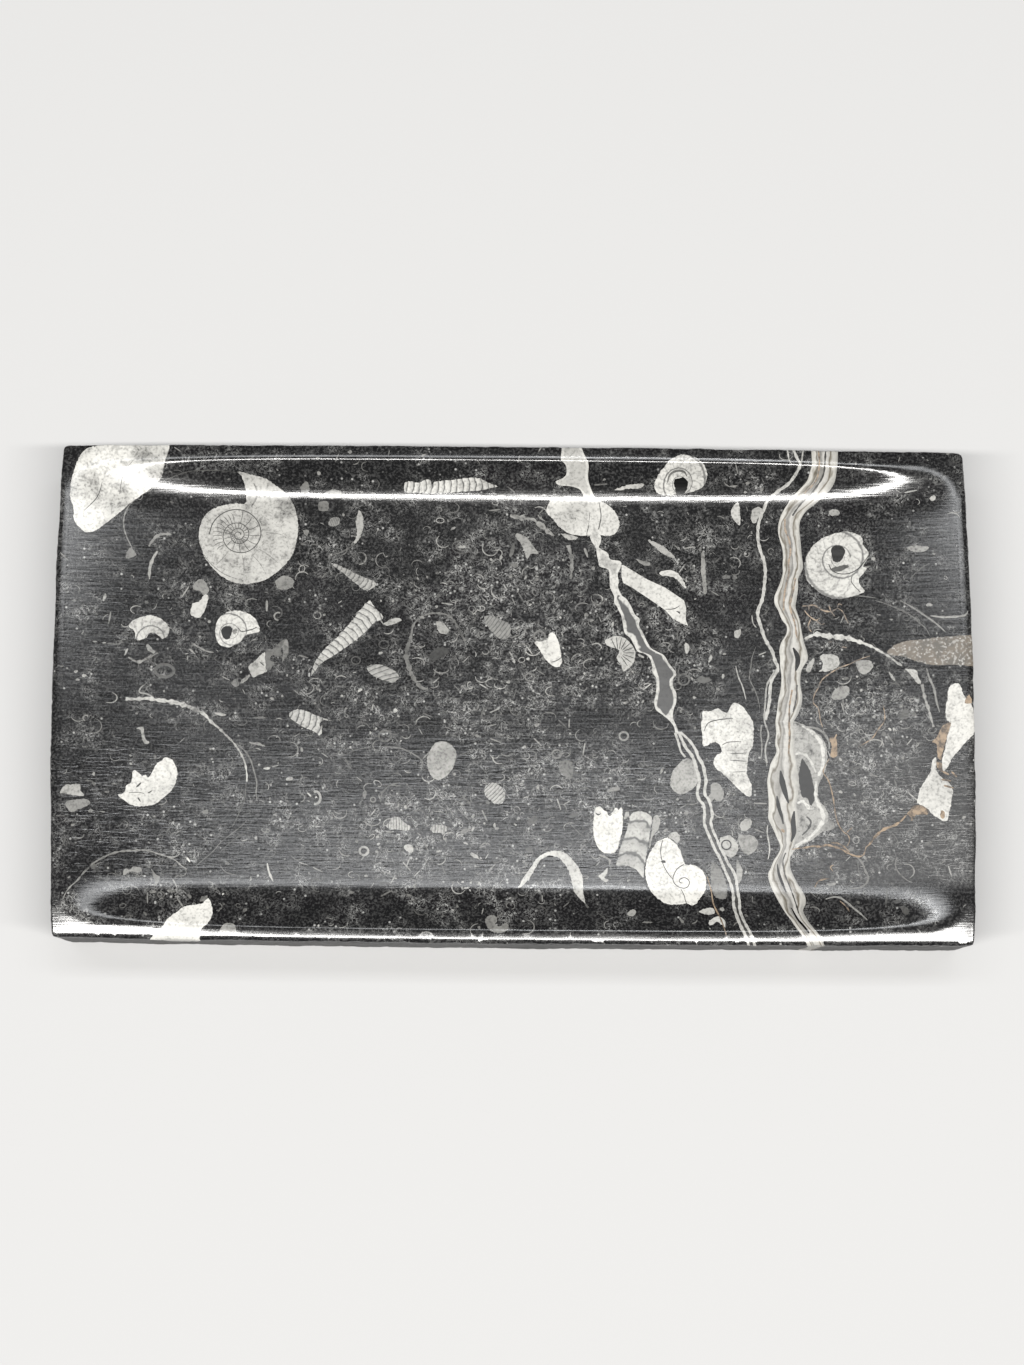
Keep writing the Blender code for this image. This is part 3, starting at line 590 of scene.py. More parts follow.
# The oval that the narrow vein cuts across, and the long bar beside it
blob([6.3, 34.6, 7, 36, 8.6, 36.6, 10.5, 36.8, 12.5, 36.6, 14, 36.3, 16, 36.2, 17.6, 35.3, 18.9, 34,
      19.6, 32.4, 19.5, 31, 18.7, 29.9, 17.2, 29.6, 15.5, 29.8, 14.2, 29.7, 12.5, 29.6, 10.5, 29.9, 8.8, 31,
      7.4, 32.6, 6.3, 33.8], 0.80, 0.55)
for crack in (
    [15, 35.8, 15.4, 33, 15.4, 31.5, 14.8, 29.6], [15.9, 36, 16.3, 33.5, 16, 31.5, 15.4, 29.6],
    [13.8, 36.2, 14.2, 33.6, 14, 31.5, 13.6, 29.8],
):
    stroke(crack, 0.16, 0.12)
sharp([20, 24.2, 20.4, 24.2, 24.5, 21.7, 28, 20.1, 30.5, 18.4, 31.4, 17.8, 31.8, 16.4, 31.7, 14.2, 32.1, 13.1,
       30.9, 13.5, 29.2, 14.5, 28, 15.9, 25, 18, 22, 20, 20.3, 20.9, 20, 22], 0.82, 0.3)
stroke([28, 16.1, 29.6, 16.2, 30.6, 16.8], 0.16, 0.1)
sharp([29.9, 15.8, 30.7, 15.2, 30.6, 15.7], 0.05)
stroke([6.5, 31, 8.2, 29.2, 9.6, 27.6, 10.4, 26], 0.2, 0.02)

# Half disc with rays, and the dark notches in the larger shells
blob([16.8, 10, 17.7, 10.7, 19.2, 11.1, 20.5, 10.7, 21.5, 9.8, 22.3, 8.6, 22.4, 7.5, 22, 6.1, 21.1, 5.1,
      20.2, 4.5, 19.9, 5.6, 19, 6.9, 19.5, 8.1, 18.9, 8.8, 17.7, 9.1], 0.72, 0.5)
for angle in range(-55, 130, 19):
    dx, dy = math.cos(math.radians(angle)), math.sin(math.radians(angle))
    stroke([(19.3 + 0.9 * dx, 7.9 + 0.8 * dy), (19.3 + 2.9 * dx, 7.9 + 2.9 * dy)], 0.14, 0.2)
for points, width in (
    ([-68.1, -18, -67.2, -17.1], 0.3), ([-66, -19, -65.2, -18.5], 0.2),
    ([-67.8, -19.8, -67.3, -20.6], 0.25), ([-69.4, -19, -67.4, -18.9, -66.6, -19.2], 0.12),
    ([34.8, -6.4, 35.6, -4.9, 37.4, -4.3, 40.1, -4], 0.18),
    ([38, -9, 39.2, -8.4, 41.5, -8.3], 0.16), ([39.6, -10.5, 42.4, -10.4], 0.14),
    ([39.4, -11.7, 42.4, -11.9], 0.14), ([39.9, -13.9, 42.2, -13.8], 0.12),
    ([15, -21.5, 15.5, -21.9, 16, -21.6], 0.25), ([17.2, -21.6, 17.6, -22, 18, -21.7], 0.25),
    ([7, 6.1, 8, 6.4, 8.9, 7], 0.16), ([-46.2, 5.6, -45.4, 4.9], 0.2),
    ([-78.6, 33, -76.4, 35.6, -75.6, 38.4], 0.14), ([-72.4, 36.2, -71.8, 39.8, -70, 42.4], 0.12),
):
    stroke(points, width, 0.22, 0.8)
ring(38.7, -27.2, 1.7, 1.7, 0.25, 0, 0.08, 0.2)


def coilTrace(x, y, radii, septa, width=0.17, tone=0.27):
    # One radius for each quarter turn from the right, anticlockwise, and the septa between two whorls
    quarters = np.arange(len(radii))

    def at(quarter, lift=1.0):
        r = lift * math.exp(np.interp(quarter, quarters, np.log(radii)))
        return (x + r * math.cos(quarter * math.pi / 2), y + r * math.sin(quarter * math.pi / 2))

    for first, last, step, share in septa:
        for quarter in np.arange(first, last, step):
            inner, outer = np.array(at(quarter, 1.06)), np.array(at(quarter + 4, 0.96))
            middle = (inner + outer) / 2 + 0.06 * (outer - inner)[::-1] * (1, -1)
            stroke([inner, middle, inner + share * (outer - inner)], 0.12, tone * 1.15, 0.4)
    stroke([at(q) for q in np.arange(0, quarters[-1] + 0.01, 0.25)], (0.8 * width, 1.2 * width), tone, 0.3)


# Coiled shells: outline, then how the coil is laid in it, as its middle, scale and turn
coils = {
    "largeCoil": {
        "outline": [-50.8, 40.6, -48.5, 40.1, -46, 39.5, -43.5, 38, -41.5, 36.4, -40.2, 34, -39.6, 31,
                    -39.9, 28, -40.8, 25.2, -42.6, 23, -45, 21.1, -47.6, 20.2, -50.3, 20.1, -53, 21.1,
                    -55.6, 23.4, -57.2, 26.2, -57.8, 29, -57.3, 31.6, -56, 33.4, -54, 34.4, -51.5, 34.9,
                    -49.4, 35, -49.3, 36.5, -49.6, 38.4, -50.2, 39.8],
        "tone": 0.74, "mottle": 0.75, "lay": None},
    "topRightCoil": {
        "outline": [26.2, 39, 26.8, 40.4, 28, 42, 29.4, 43.4, 31.4, 44.2, 33.4, 43.8, 35, 42.7, 35.8, 41.2,
                    35.8, 39.8, 35, 38.6, 33.5, 37.9, 31.8, 37.5, 30.2, 37.3, 28.6, 37.1, 27, 37.4, 26.3, 38.2],
        "tone": 0.84, "mottle": 0.4, "lay": (31, 39.2, 1.6, 200)},
    "rightCoil": {
        "outline": [53.7, 22.8, 53.6, 24.6, 54.2, 26.4, 55.3, 28.1, 56.8, 29.3, 58.4, 30, 60.5, 30.6,
                    62.4, 30.5, 63.8, 29.8, 64.4, 28.9, 64.3, 28.3, 65.3, 26.5, 64.8, 25.2, 64.2, 24.2,
                    64.8, 23.8, 64.2, 22.8, 63.4, 21.8, 63.6, 20.6, 64.4, 19.5, 63.2, 18.9, 61.5, 18.4,
                    59.8, 18.1, 58.2, 18.3, 56.4, 19.2, 55, 20.4, 54, 21.6],
        "tone": 0.8, "mottle": 0.5, "lay": (59.9, 25.6, 1.7, 250)},
    "capCoil": {
        "outline": [-69.9, 11.9, -69, 12.9, -67.5, 13.5, -65.9, 13.8, -64.3, 13.2, -63.1, 12.2, -62.7, 11.1,
                    -63, 10.1, -63.9, 9.5, -64.4, 10, -65.2, 10.4, -66.2, 10.4, -66.8, 9.7, -68, 9.1,
                    -68.7, 9.4, -68.9, 10.6, -69.6, 11.3],
        "tone": 0.78, "mottle": 0.5, "lay": (-65.6, 9.4, 1.4, 160)},
    "smallCoil": {
        "outline": [-54.3, 10.1, -54.4, 11.6, -54, 13.1, -53.1, 14.2, -51.6, 14.9, -50.2, 15, -48.4, 14.5,
                    -47.2, 13.6, -46.8, 12.9, -46.4, 11.9, -46.4, 11.2, -48, 10.8, -49.2, 10.2, -49.6, 9.4,
                    -50.5, 8.8, -51.9, 8.2, -53.4, 8.6, -54.2, 9.7],
        "tone": 0.82, "mottle": 0.4, "lay": (-51.6, 11, 1.25, 300)},
    "looseCoil": {
        "outline": [26.2, -26.6, 25.6, -27.6, 24.9, -28.6, 24.4, -29.7, 24.1, -31.1, 24, -32.3, 24.2, -33.6,
                    24.6, -35, 25.4, -36.2, 26.4, -37.2, 27.6, -37.9, 28.8, -38.1, 30.2, -38, 31.5, -37.9,
                    32.4, -38.2, 33, -38, 33.9, -36.9, 34.7, -35.8, 35, -34.5, 34.9, -33.2, 34.5, -32.1,
                    33.7, -31.3, 32.5, -30.9, 31.3, -30.8, 30.9, -29.9, 30.6, -28.9, 30.1, -27.8, 29.4, -26.9,
                    28.5, -26.2, 27.8, -26, 27, -26.3],
        "tone": 0.88, "mottle": 0.3, "lay": None},
    "lowCoil": {
        "outline": [-5, -41.3, -4.6, -40.6, -3.9, -40.2, -3, -40.6, -2.9, -41.4, -3.2, -41.9, -2.7, -42.3,
                    -2, -42.2, -1.4, -41.7, -0.8, -42, -0.9, -42.8, -1.5, -43.3, -3, -43.5, -4.1, -43.1,
                    -4.7, -42.3],
        "tone": 0.5, "mottle": 0.7, "lay": None},
}
for coil in coils.values():
    laid = coil["lay"]
    blob(coil["outline"], coil["tone"], coil["mottle"], "coilShell" if laid else "calcite",
         coilUv(*laid) if laid else None)

# The large coil, with its septa and a few cracks
coilTrace(-50.6, 29.1, (0.5, 0.57, 0.65, 0.83, 1.1, 1.2, 1.35, 1.6, 1.95, 2.2, 2.75, 3.25, 4.15, 4.7, 5.3),
          ((2.0, 6.0, 0.20, 1.0), (6.2, 9.0, 0.30, 1.0), (9.2, 10.4, 0.12, 0.8)))
stroke([-47.9, 38.6, -47.3, 37.2, -47.5, 35.8, -48.3, 34.4], 0.35, 0.5, 0.8)
stroke([-57, 25.6, -55.4, 23.6, -53.2, 21.9, -50.6, 20.9], 0.16, 0.5, 0.8)
for x0, y0, x1, y1 in ((-46.9, 26.6, -43.2, 24.0), (-49.8, 25.4, -49.4, 22.0), (-52.6, 25.6, -54.6, 23.4),
                       (-55.4, 27.2, -57.0, 26.8), (-45.6, 29.6, -42.4, 29.2), (-47.9, 25.4, -45.6, 22.4)):
    stroke([(x0, y0), ((x0 + x1) / 2 + 0.15, (y0 + y1) / 2 + 0.1), (x1, y1)], 0.14, 0.55, 0.8, ragged=0.5)

# Dark openings and lines in the coils: width, tone, points
coilLines = [
    (0.16, 0.1, 31, -30.8, 29.9, -31.5, 29.2, -32.6, 29, -33.6, 29.4, -34.4, 30.1, -34.9, 31, -35.1,
     31.7, -34.8, 32, -34, 31.6, -33.4, 31, -33.2, 30.4, -33.4, 30.1, -33.9, 30.6, -34.2),
    (0.12, 0.15, 30.4, -35.2, 31, -36.4, 31.2, -37.3, 31.5, -38.1),
    (0.14, 0.12, 28.9, -33.4, 28.1, -32.4, 27.4, -31.2, 27, -30, 26.8, -28.6, 26.9, -27.4, 27.2, -26.4),
    (0.22, 0.04, 24.9, -27.9, 24.2, -29.4, 23.9, -31, 23.9, -32.6, 24.2, -34.6, 25.2, -36.4),
    (0.16, 0.12, 58, 24.6, 58.6, 23.4, 60, 22.8, 61.8, 22.9, 63.4, 23.8, 64.6, 25.2, 65.3, 26.2),
    (0.14, 0.15, 62.2, 22.4, 62, 21.4, 62.8, 20.2, 63.6, 19.4),
    (0.16, 0.12, -50.2, 11.9, -49.7, 11.2, -48, 11.5, -46.9, 12),
]
for width, tone, *points in coilLines:
    stroke(points, (width, width), tone, 0.3)
blob([29.9, 39.8, 31, 40.2, 32.1, 39.9, 32.3, 38.8, 31.8, 37.5, 31, 37, 30.3, 37.3, 30, 38.4], 0.03, 0.3)
stroke([28.6, 39.3, 29, 40.6, 30.2, 41.3, 31.6, 41.2, 32.2, 40.4], 0.4, 0.4)
lump(59.7, 26.6, 3.0, 2.7, 30, 0.12, 0.9)
lump(60.0, 23.8, 3.0, 1.1, 10, 0.32, 0.7)
stroke([62, 28, 62.6, 26.6, 62, 25.2, 61, 24.6], 0.7, 0.8)
lump(-52.3, 11.0, 2.3, 2.2, 0, 0.05, 0.5)
lump(-50.8, 11.2, 0.9, 1.1, 0, 0.5)
lump(27.3, -30.3, 0.8, 0.6, 0, 0.12)

# Shells cut along their length: outline, tip, foot, half the width at the foot, pitch of the walls inside
cones = {
    "longCone": {
        "outline": [-26.3, 17.2, -27.9, 15.6, -29.2, 13.9, -30.8, 11.9, -32.6, 10, -34.5, 8.1, -35.6, 6.6,
                    -36.2, 5.7, -36.8, 3.2, -35.2, 5.3, -33.6, 6.4, -31.5, 7.8, -29.2, 9.5, -27.1, 11.3,
                    -25.4, 13.1, -23.8, 14.1, -25.5, 16.2],
        "tip": (-36.8, 3.6), "foot": (-25.2, 15.6), "halfWide": 1.7, "pitch": 1.15, "tone": 0.76},
    "littleCone": {
        "outline": [-33.6, 24.1, -30.6, 23.1, -28.2, 21.9, -26.5, 21.2, -25, 20.2, -27, 19.1, -29, 20.5,
                    -31.5, 22.5],
        "tip": (-33.6, 24.1), "foot": (-26.6, 20.2), "halfWide": 1, "pitch": 0.9, "tone": 0.66},
    "topTurret": {
        "outline": [-20, 38.8, -19, 39.1, -17.5, 38.9, -16, 39.5, -15.2, 39.2, -15, 38.3, -14.4, 39.1,
                    -12.5, 39.3, -10.5, 39.5, -8, 39.8, -6.5, 39.8, -5.2, 39.3, -4, 38.8, -2.9, 38.4, -4.5, 38,
                    -6.5, 37.6, -9, 37.5, -12, 37.2, -15, 37.1, -18, 37.2, -19.9, 37.3],
        "tip": (-20.2, 38.6), "foot": (-2.9, 38.3), "halfWide": 1.6, "pitch": 1.15, "tone": 0.84},
    "ribbedOval": {
        "outline": [-34.1, 31.4, -33.5, 32.4, -32.2, 32.6, -31.9, 31.7, -32.6, 31, -33.6, 30.9],
        "tip": (-34.2, 31.2), "foot": (-31.8, 32.2), "halfWide": 1.4, "pitch": 0.4, "tone": 0.5},
    "ribbedCone": {
        "outline": [-5.2, 14.3, -4.6, 12.6, -3.2, 11, -2.2, 10.3, -0.6, 10.8, -0.6, 13, -2.5, 14, -3.8, 14.6],
        "tip": (-5.4, 14.8), "foot": (-0.4, 11.2), "halfWide": 2.4, "pitch": 0.62, "tone": 0.5},
    "stripedOval": {
        "outline": [-26.7, 4.7, -26.1, 5.3, -24.8, 5.4, -23, 5, -21.2, 3.9, -20.9, 2.8, -22, 2, -22.7, 2.3,
                    -23.6, 2.5, -25.1, 3.1, -26.1, 3.8],
        "tip": (-22.8, 1.2), "foot": (-24.2, 5.6), "halfWide": 3.4, "pitch": 0.85, "tone": 0.62},
    "spireShell": {
        "outline": [-40.7, -4, -40.1, -3.3, -38.6, -3.1, -37.1, -3.6, -35.4, -4.3, -33.6, -4.9, -32.9, -5.2,
                    -34.6, -5, -35.2, -5.9, -34.8, -6.6, -34.8, -7.5, -35.3, -7.8, -36.2, -7.1, -37.7, -6.5,
                    -39.5, -5.5, -40.5, -4.7],
        "tip": (-41, -4), "foot": (-34, -6.4), "halfWide": 1.9, "pitch": 1.15, "tone": 0.74},
    "combShell": {
        "outline": [-23, -24.4, -22.3, -23.5, -22, -22.8, -20.6, -22.6, -20.3, -23.1, -19.7, -23.6, -19.2, -24,
                    -18.5, -24.3, -19, -25.1, -20.2, -25, -21.1, -24.9, -22, -24.9],
        "tip": (-23.4, -24.2), "foot": (-18.4, -24.2), "halfWide": 2.6, "pitch": 0.5, "tone": 0.74},
    "combPiece": {
        "outline": [-14.9, -24.5, -14.3, -24, -13.3, -24, -12.2, -24.2, -11.9, -25, -12.8, -25.4, -14, -25.5,
                    -14.8, -25.2],
        "tip": (-15, -24.6), "foot": (-11.8, -24.8), "halfWide": 2, "pitch": 0.55, "tone": 0.66},
    "dottedOval": {
        "outline": [-5.2, -17.6, -4.6, -16.5, -3.4, -16.2, -2.3, -16.8, -1.6, -17.6, -1.4, -18.8, -2, -19.9,
                    -3.1, -20.1, -4.1, -19.5, -4.9, -18.7],
        "tip": (-5.2, -16.2), "foot": (-1.2, -20.2), "halfWide": 2.4, "pitch": 0.55, "tone": 0.66},
    "barrel": {
        "outline": [21.4, -21.9, 22.2, -21.3, 23.4, -21.2, 24.5, -21.6, 25.2, -22.3, 25.1, -23.6, 24.8, -25.5,
                    24.5, -27.5, 24.2, -29.2, 24, -30.6, 23.8, -31.6, 23.6, -33.2, 22.5, -31.9, 21.4, -31.3,
                    20.2, -31.1, 19, -31.2, 18.8, -30.6, 19.1, -29.9, 19.3, -28.6, 19.6, -27.4, 20.2, -26,
                    20.7, -24.6, 21.1, -23.2],
        "tip": (20.6, -33.9), "foot": (23.6, -20.6), "halfWide": 2.6, "pitch": 3.05, "tone": 0.72},
}
for cone in cones.values():
    blob(cone["outline"], cone["tone"], 0.45, "segmentedShell",
         axisUv(cone["tip"], cone["foot"], cone["halfWide"], cone["pitch"]))

print("veins")

# The wide vein runs from the far side to the near side: places of its left and right edge, and of its threads
wideVein = {
    "left": [55.2, 46.6, 55.2, 43, 54.9, 41.5, 54.3, 39.8, 53, 38.4, 51.6, 37, 50.8, 35.8, 50, 34.6, 49.4, 33.4,
             49, 32, 48.9, 30.6, 49.2, 29, 49.6, 27.5, 49.7, 26, 49.6, 24.5, 49.6, 23, 49.2, 21.5, 48.6, 20,
             48, 18.6, 48, 17.2, 48.6, 16, 49.3, 14.2, 50.1, 13.1, 50, 11.6, 49.1, 10.1, 48.7, 8.6, 48.8, 7.2,
             48.8, 5.7, 49, 3.6, 48.8, 1.3, 48.4, -0.5, 48.1, -2.8, 47.8, -4.6, 47.9, -6.6, 47.7, -8.7,
             47.9, -10.2, 46.9, -12.2, 46.6, -13.4, 46.2, -15.4, 46.3, -17.5, 46.4, -19, 46.4, -20.6,
             46.3, -22.3, 46.8, -23.5, 47.4, -24.8, 47.9, -26, 48.4, -27.2, 48.4, -28.1, 47.8, -29.2,
             47.2, -30.1, 46.7, -31.4, 46.2, -32.5, 46.4, -33.8, 46.9, -35.2, 47.4, -36.2, 47.9, -37.2,
             48.6, -38.5, 49.3, -39.7, 50.1, -40.8, 50.8, -42, 51.7, -43.2, 52.6, -44.4, 53.4, -46.6],
    "right": [60.2, 46.6, 60, 43.5, 59.8, 42, 59.5, 40, 58.8, 38.6, 57.5, 37.2, 55.6, 35.6, 54, 34.3, 53, 32.6,
              52.8, 31, 53, 28.5, 53.1, 26.5, 53.3, 24.6, 53.2, 23.6, 52.4, 22, 52.3, 20, 52, 18, 51.8, 16.6,
              52.5, 14.2, 52.8, 12.2, 53.2, 10.1, 53.7, 8.4, 53.8, 6.9, 52.9, 5.4, 52.5, 4.2, 52.4, 2.2,
              52.7, 0.1, 52.5, -1.6, 51.8, -3.4, 50.9, -5, 51.3, -6.4, 51.2, -8.7, 51.3, -10.5, 51.5, -12.2,
              51.8, -14.3, 51.9, -16.6, 51.6, -18.6, 51.4, -20.4, 51.7, -22.4, 51.6, -24.8, 51.2, -26.6,
              50.4, -28.4, 50.2, -30.2, 50.3, -31.6, 51, -33.2, 51.9, -34.9, 52.8, -36.4, 52.9, -37.8,
              52.4, -39.2, 53.2, -41, 54.2, -42.4, 55.2, -43.6, 55.8, -44.6, 56.6, -46.6],
    # Stone caught between the threads: widths, points
    "darkPockets": [
        ((0.2, 1.1, 0.9, 0.2), 48.6, -13.6, 48.9, -15.6, 49.4, -17.6, 50, -19.6),
        ((0.15, 0.7, 0.6, 0.2), 47.9, -18.2, 48.2, -20.2, 48.8, -22.2, 49, -23.4),
        ((0.2, 0.9, 0.9, 0.2), 51, -21, 50.8, -23, 50.9, -25, 50.4, -26.6),
        ((0.15, 0.35, 0.4, 0.3), 50.3, -38.6, 51.3, -40.6, 52.4, -42, 53.3, -43.2),
        ((0.2, 0.9, 0.9, 0.2), 51.2, 9.1, 51.9, 7.6, 52, 6.4, 51.6, 4.8),
        ((0.1, 0.5, 0.5, 0.1), 47.9, -30.6, 48.1, -32.2, 48.7, -34, 49.5, -35.8),
    ],
    # Brown and grey threads inside it: width, tone, points
    "streaks": [
        (0.3, 0.3, 50.2, 33, 50.2, 31, 50.9, 29, 51.1, 27, 50.7, 25, 50.7, 23, 50, 20, 49.7, 18, 49.6, 16),
        (0.3, 0.3, 50.9, 1.3, 50.4, -1.6, 50.3, -4.3, 50.3, -7.5, 50.1, -10.5),
        (0.25, 0.25, 51.8, 2.2, 51.6, -0.5, 51, -2.8),
        (0.3, 0.25, 58, 46.6, 57.6, 43, 57.2, 40.6, 55.4, 38, 53.2, 35.8, 51.6, 33.6),
        (0.25, 0.3, 56.4, 46.6, 56.6, 43, 56, 40, 53.8, 37.6),
        (0.3, 0.28, 51.9, 22, 51.3, 19, 50.8, 16.6, 51.6, 13.6, 51.9, 11),
        (0.22, 0.25, 49.4, -28.6, 48.9, -30.2, 49.2, -32.4, 50.2, -35, 51, -37.4, 51.6, -39.6),
    ],
}
# The pale body beside it has whiter seams
for widths, tone, *points in (
    ((0.2, 0.7, 0.6, 0.4), 0.80, 52.6, -5.4, 54.8, -6.9, 56.1, -9, 56.3, -12.2, 55.4, -14.6),
    ((0.3, 0.5, 0.7, 0.6), 0.78, 55, -15.6, 54.9, -18.6, 55.9, -20.8, 56.2, -22.6, 55, -24.6),
    ((0.4, 0.6, 0.5, 0.3), 0.80, 55, -24.6, 53.2, -26.2, 51.4, -27.4, 49.8, -29.6),
    ((0.3, 0.5, 0.4, 0.2), 0.76, 51.2, -10.6, 52.6, -10.4, 54, -11.8, 55, -14),
    ((0.2, 0.6, 0.5, 0.3), 0.82, 51.6, -19.6, 52.6, -19.2, 53.8, -20.6, 54.6, -20.4),
    ((0.2, 0.4, 0.3, 0.2), 0.20, 53.2, -22, 54, -23, 53.4, -24.4, 52.4, -25.4),
):
    stroke(points, widths, tone, 0.4, ragged=0.4)
wideEdges = [smoothed(wideVein[side], 0.4, closed=False) for side in ("left", "right")]
addMark(np.vstack([wideEdges[0], wideEdges[1][::-1]]), "vein", 0.8, 0.4, acrossUv(*wideEdges))
for width, tone, *points in wideVein["streaks"]:
    stroke(points, (width, width), tone, 0.5, "ironStain" if tone > 0.27 else "calcite", ragged=0.4)
for width, *points in wideVein["darkPockets"]:
    stroke(points, width, 0.03, 0.2)

# The narrow vein is white along both edges and grey between them
narrowVein = {
    "left": [9.2, 46.6, 9, 44.5, 8.9, 43, 9.8, 42, 9.9, 40.6, 9.2, 39.9, 7.9, 39.3, 8.6, 38.7, 10.2, 38.6,
             11, 38.5, 12, 38.2, 12.6, 37.8, 13.1, 36.8, 13.6, 36, 14.2, 33.5, 14, 31.5, 14.2, 29.6, 14.5, 28.6,
             15.3, 27.3, 15.5, 26, 15.8, 24.6, 16, 23.9, 17.6, 23.3, 17.8, 21.5, 17.9, 20, 18.6, 18.4,
             18.6, 17.2, 19.2, 16.4, 19.3, 16, 19.9, 14.8, 20.2, 13.1, 20.5, 11.6, 21.5, 10.7, 22.3, 9.2,
             22.9, 8.2, 24.2, 7.8, 25.1, 6.9, 25.5, 5.4, 25.8, 4.2, 26.2, 3.1, 26.2, 1.9, 26.1, 0.4, 25.8, -1.1,
             26.1, -2.5, 27.1, -3.3, 28.3, -4.3, 29.3, -5.5, 29.6, -6.9],
    "right": [12.4, 46.6, 13, 44.5, 13.6, 43.2, 14, 42, 13.9, 40.2, 14.2, 38.8, 14.9, 37.2, 15.4, 36,
              15.6, 33.5, 15.6, 31.5, 16.2, 29.6, 16.2, 28.3, 15.9, 27.4, 17.5, 26.4, 17.9, 25.3, 19.8, 24.9,
              19.9, 23.9, 19.3, 22.5, 19.5, 21, 19.3, 20.2, 20, 18.6, 20.8, 18, 21.6, 16.8, 22.4, 15.1,
              23.3, 14.2, 23.1, 13.1, 23.9, 11.6, 24.6, 10, 25.4, 8.8, 26.5, 8.2, 27.7, 7.5, 28.6, 6, 29.9, 4.2,
              29.2, 3.1, 29.3, 1.6, 29.8, 0.7, 29.8, -1.1, 29.3, -2.5, 29.2, -4, 29.8, -5.5, 30.3, -6.9],
    # Below the middle it opens into loose threads: widths, points
    "threads": [
        ((0.5, 0.4, 0.3), 29.6, -6.7, 30.2, -8.7, 30.6, -10.2, 31.4, -11.2),
        ((0.5, 0.6, 0.5, 0.5, 0.5, 0.55, 0.5), 30.2, -6.6, 31.4, -9.3, 32.3, -10.5, 32.9, -11.6, 33.4, -13.4,
         33.9, -15.2, 33.7, -16.6, 33.5, -18, 34, -19.2, 34.6, -19.9, 34.8, -21.4, 34.7, -23, 35, -24.2,
         35.6, -25.6, 36.1, -26.8, 36.7, -28.2, 37.4, -29.4, 37.9, -30.6, 38.5, -32, 39.1, -33.4, 39.6, -34.8,
         39.9, -36.4, 39.9, -38, 40.2, -39.4, 40.6, -40.8, 41.2, -42.4, 42, -44, 42.8, -46.6),
        ((0.4, 0.6, 0.5, 0.45, 0.5, 0.5, 0.5), 30.5, -6.6, 32.1, -8.1, 33.3, -9.9, 33.7, -11.1, 34.5, -12.5,
         34.9, -14.3, 35.1, -15.6, 34.9, -16.8, 34.9, -18, 35.6, -19.1, 36, -20.5, 36.2, -22, 35.9, -23,
         36.3, -24.6, 37, -26.2, 37.6, -27.8, 38.3, -29, 38.9, -30.4, 39.8, -31.8, 40.4, -33.2, 40.6, -34.8,
         40.8, -36.2, 41, -37.6, 41, -39, 41.4, -40.4, 42, -41.8, 42.9, -43.6, 44, -46.6),
    ],
}
narrowEdges = [smoothed(narrowVein[side], 0.35, closed=False) for side in ("left", "right")]
addMark(np.vstack([narrowEdges[0], narrowEdges[1][::-1]]), "borderedVein", 0.8, 0.4, edgeUv(*narrowEdges))
stroke([35, -20, 35.4, -22, 35.6, -24.4, 36.6, -27.4, 37.9, -30, 39.2, -32.6, 40.1, -35.4, 40.4, -38,
        41, -40.6, 42, -43, 43.2, -46.6], (0.6, 0.7, 0.7, 0.7, 0.6), 0.24, 0.6)
for widths, *points in narrowVein["threads"]:
    stroke(points, widths, 0.72, 0.35, ragged=0.25)

# Threads beside the wide vein: widths, tone, points
sideThreads = [
    ((0.5, 0.55, 0.6, 0.55), 0.72, 51.6, 46.6, 52.5, 43.8, 53, 42.4, 51.2, 39.6, 49, 38, 47.2, 36.5, 46.4, 34.8,
     45.5, 32.6, 45.2, 31, 45.2, 29, 45.6, 27, 46.2, 25.2, 46.4, 23, 46.2, 21, 46, 19.2, 45.6, 17.6, 45, 16.2,
     44.9, 14.8, 45.4, 13.1, 45.9, 11.3, 46.6, 9.8, 47.4, 8.4, 47.9, 6.6, 48.4, 5.4, 47.9, 4.2, 47.2, 3.1,
     46.9, 1.3, 46.8, -0.5, 46.5, -2.2, 46, -4.3),
    ((0.3, 0.3), 0.6, 47.7, 4.5, 46.6, 2.8, 46.2, 1.3, 46, -1.1, 45.8, -4.3, 46.5, -6.9, 46, -9, 45.9, -10.5,
     46.2, -12.2),
    ((0.3, 0.2), 0.5, 45.3, -5.2, 45.1, -6.9, 45.3, -9, 45.1, -11.4),
]
for widths, tone, *points in sideThreads:
    stroke(points, widths, tone, 0.4, ragged=0.3)

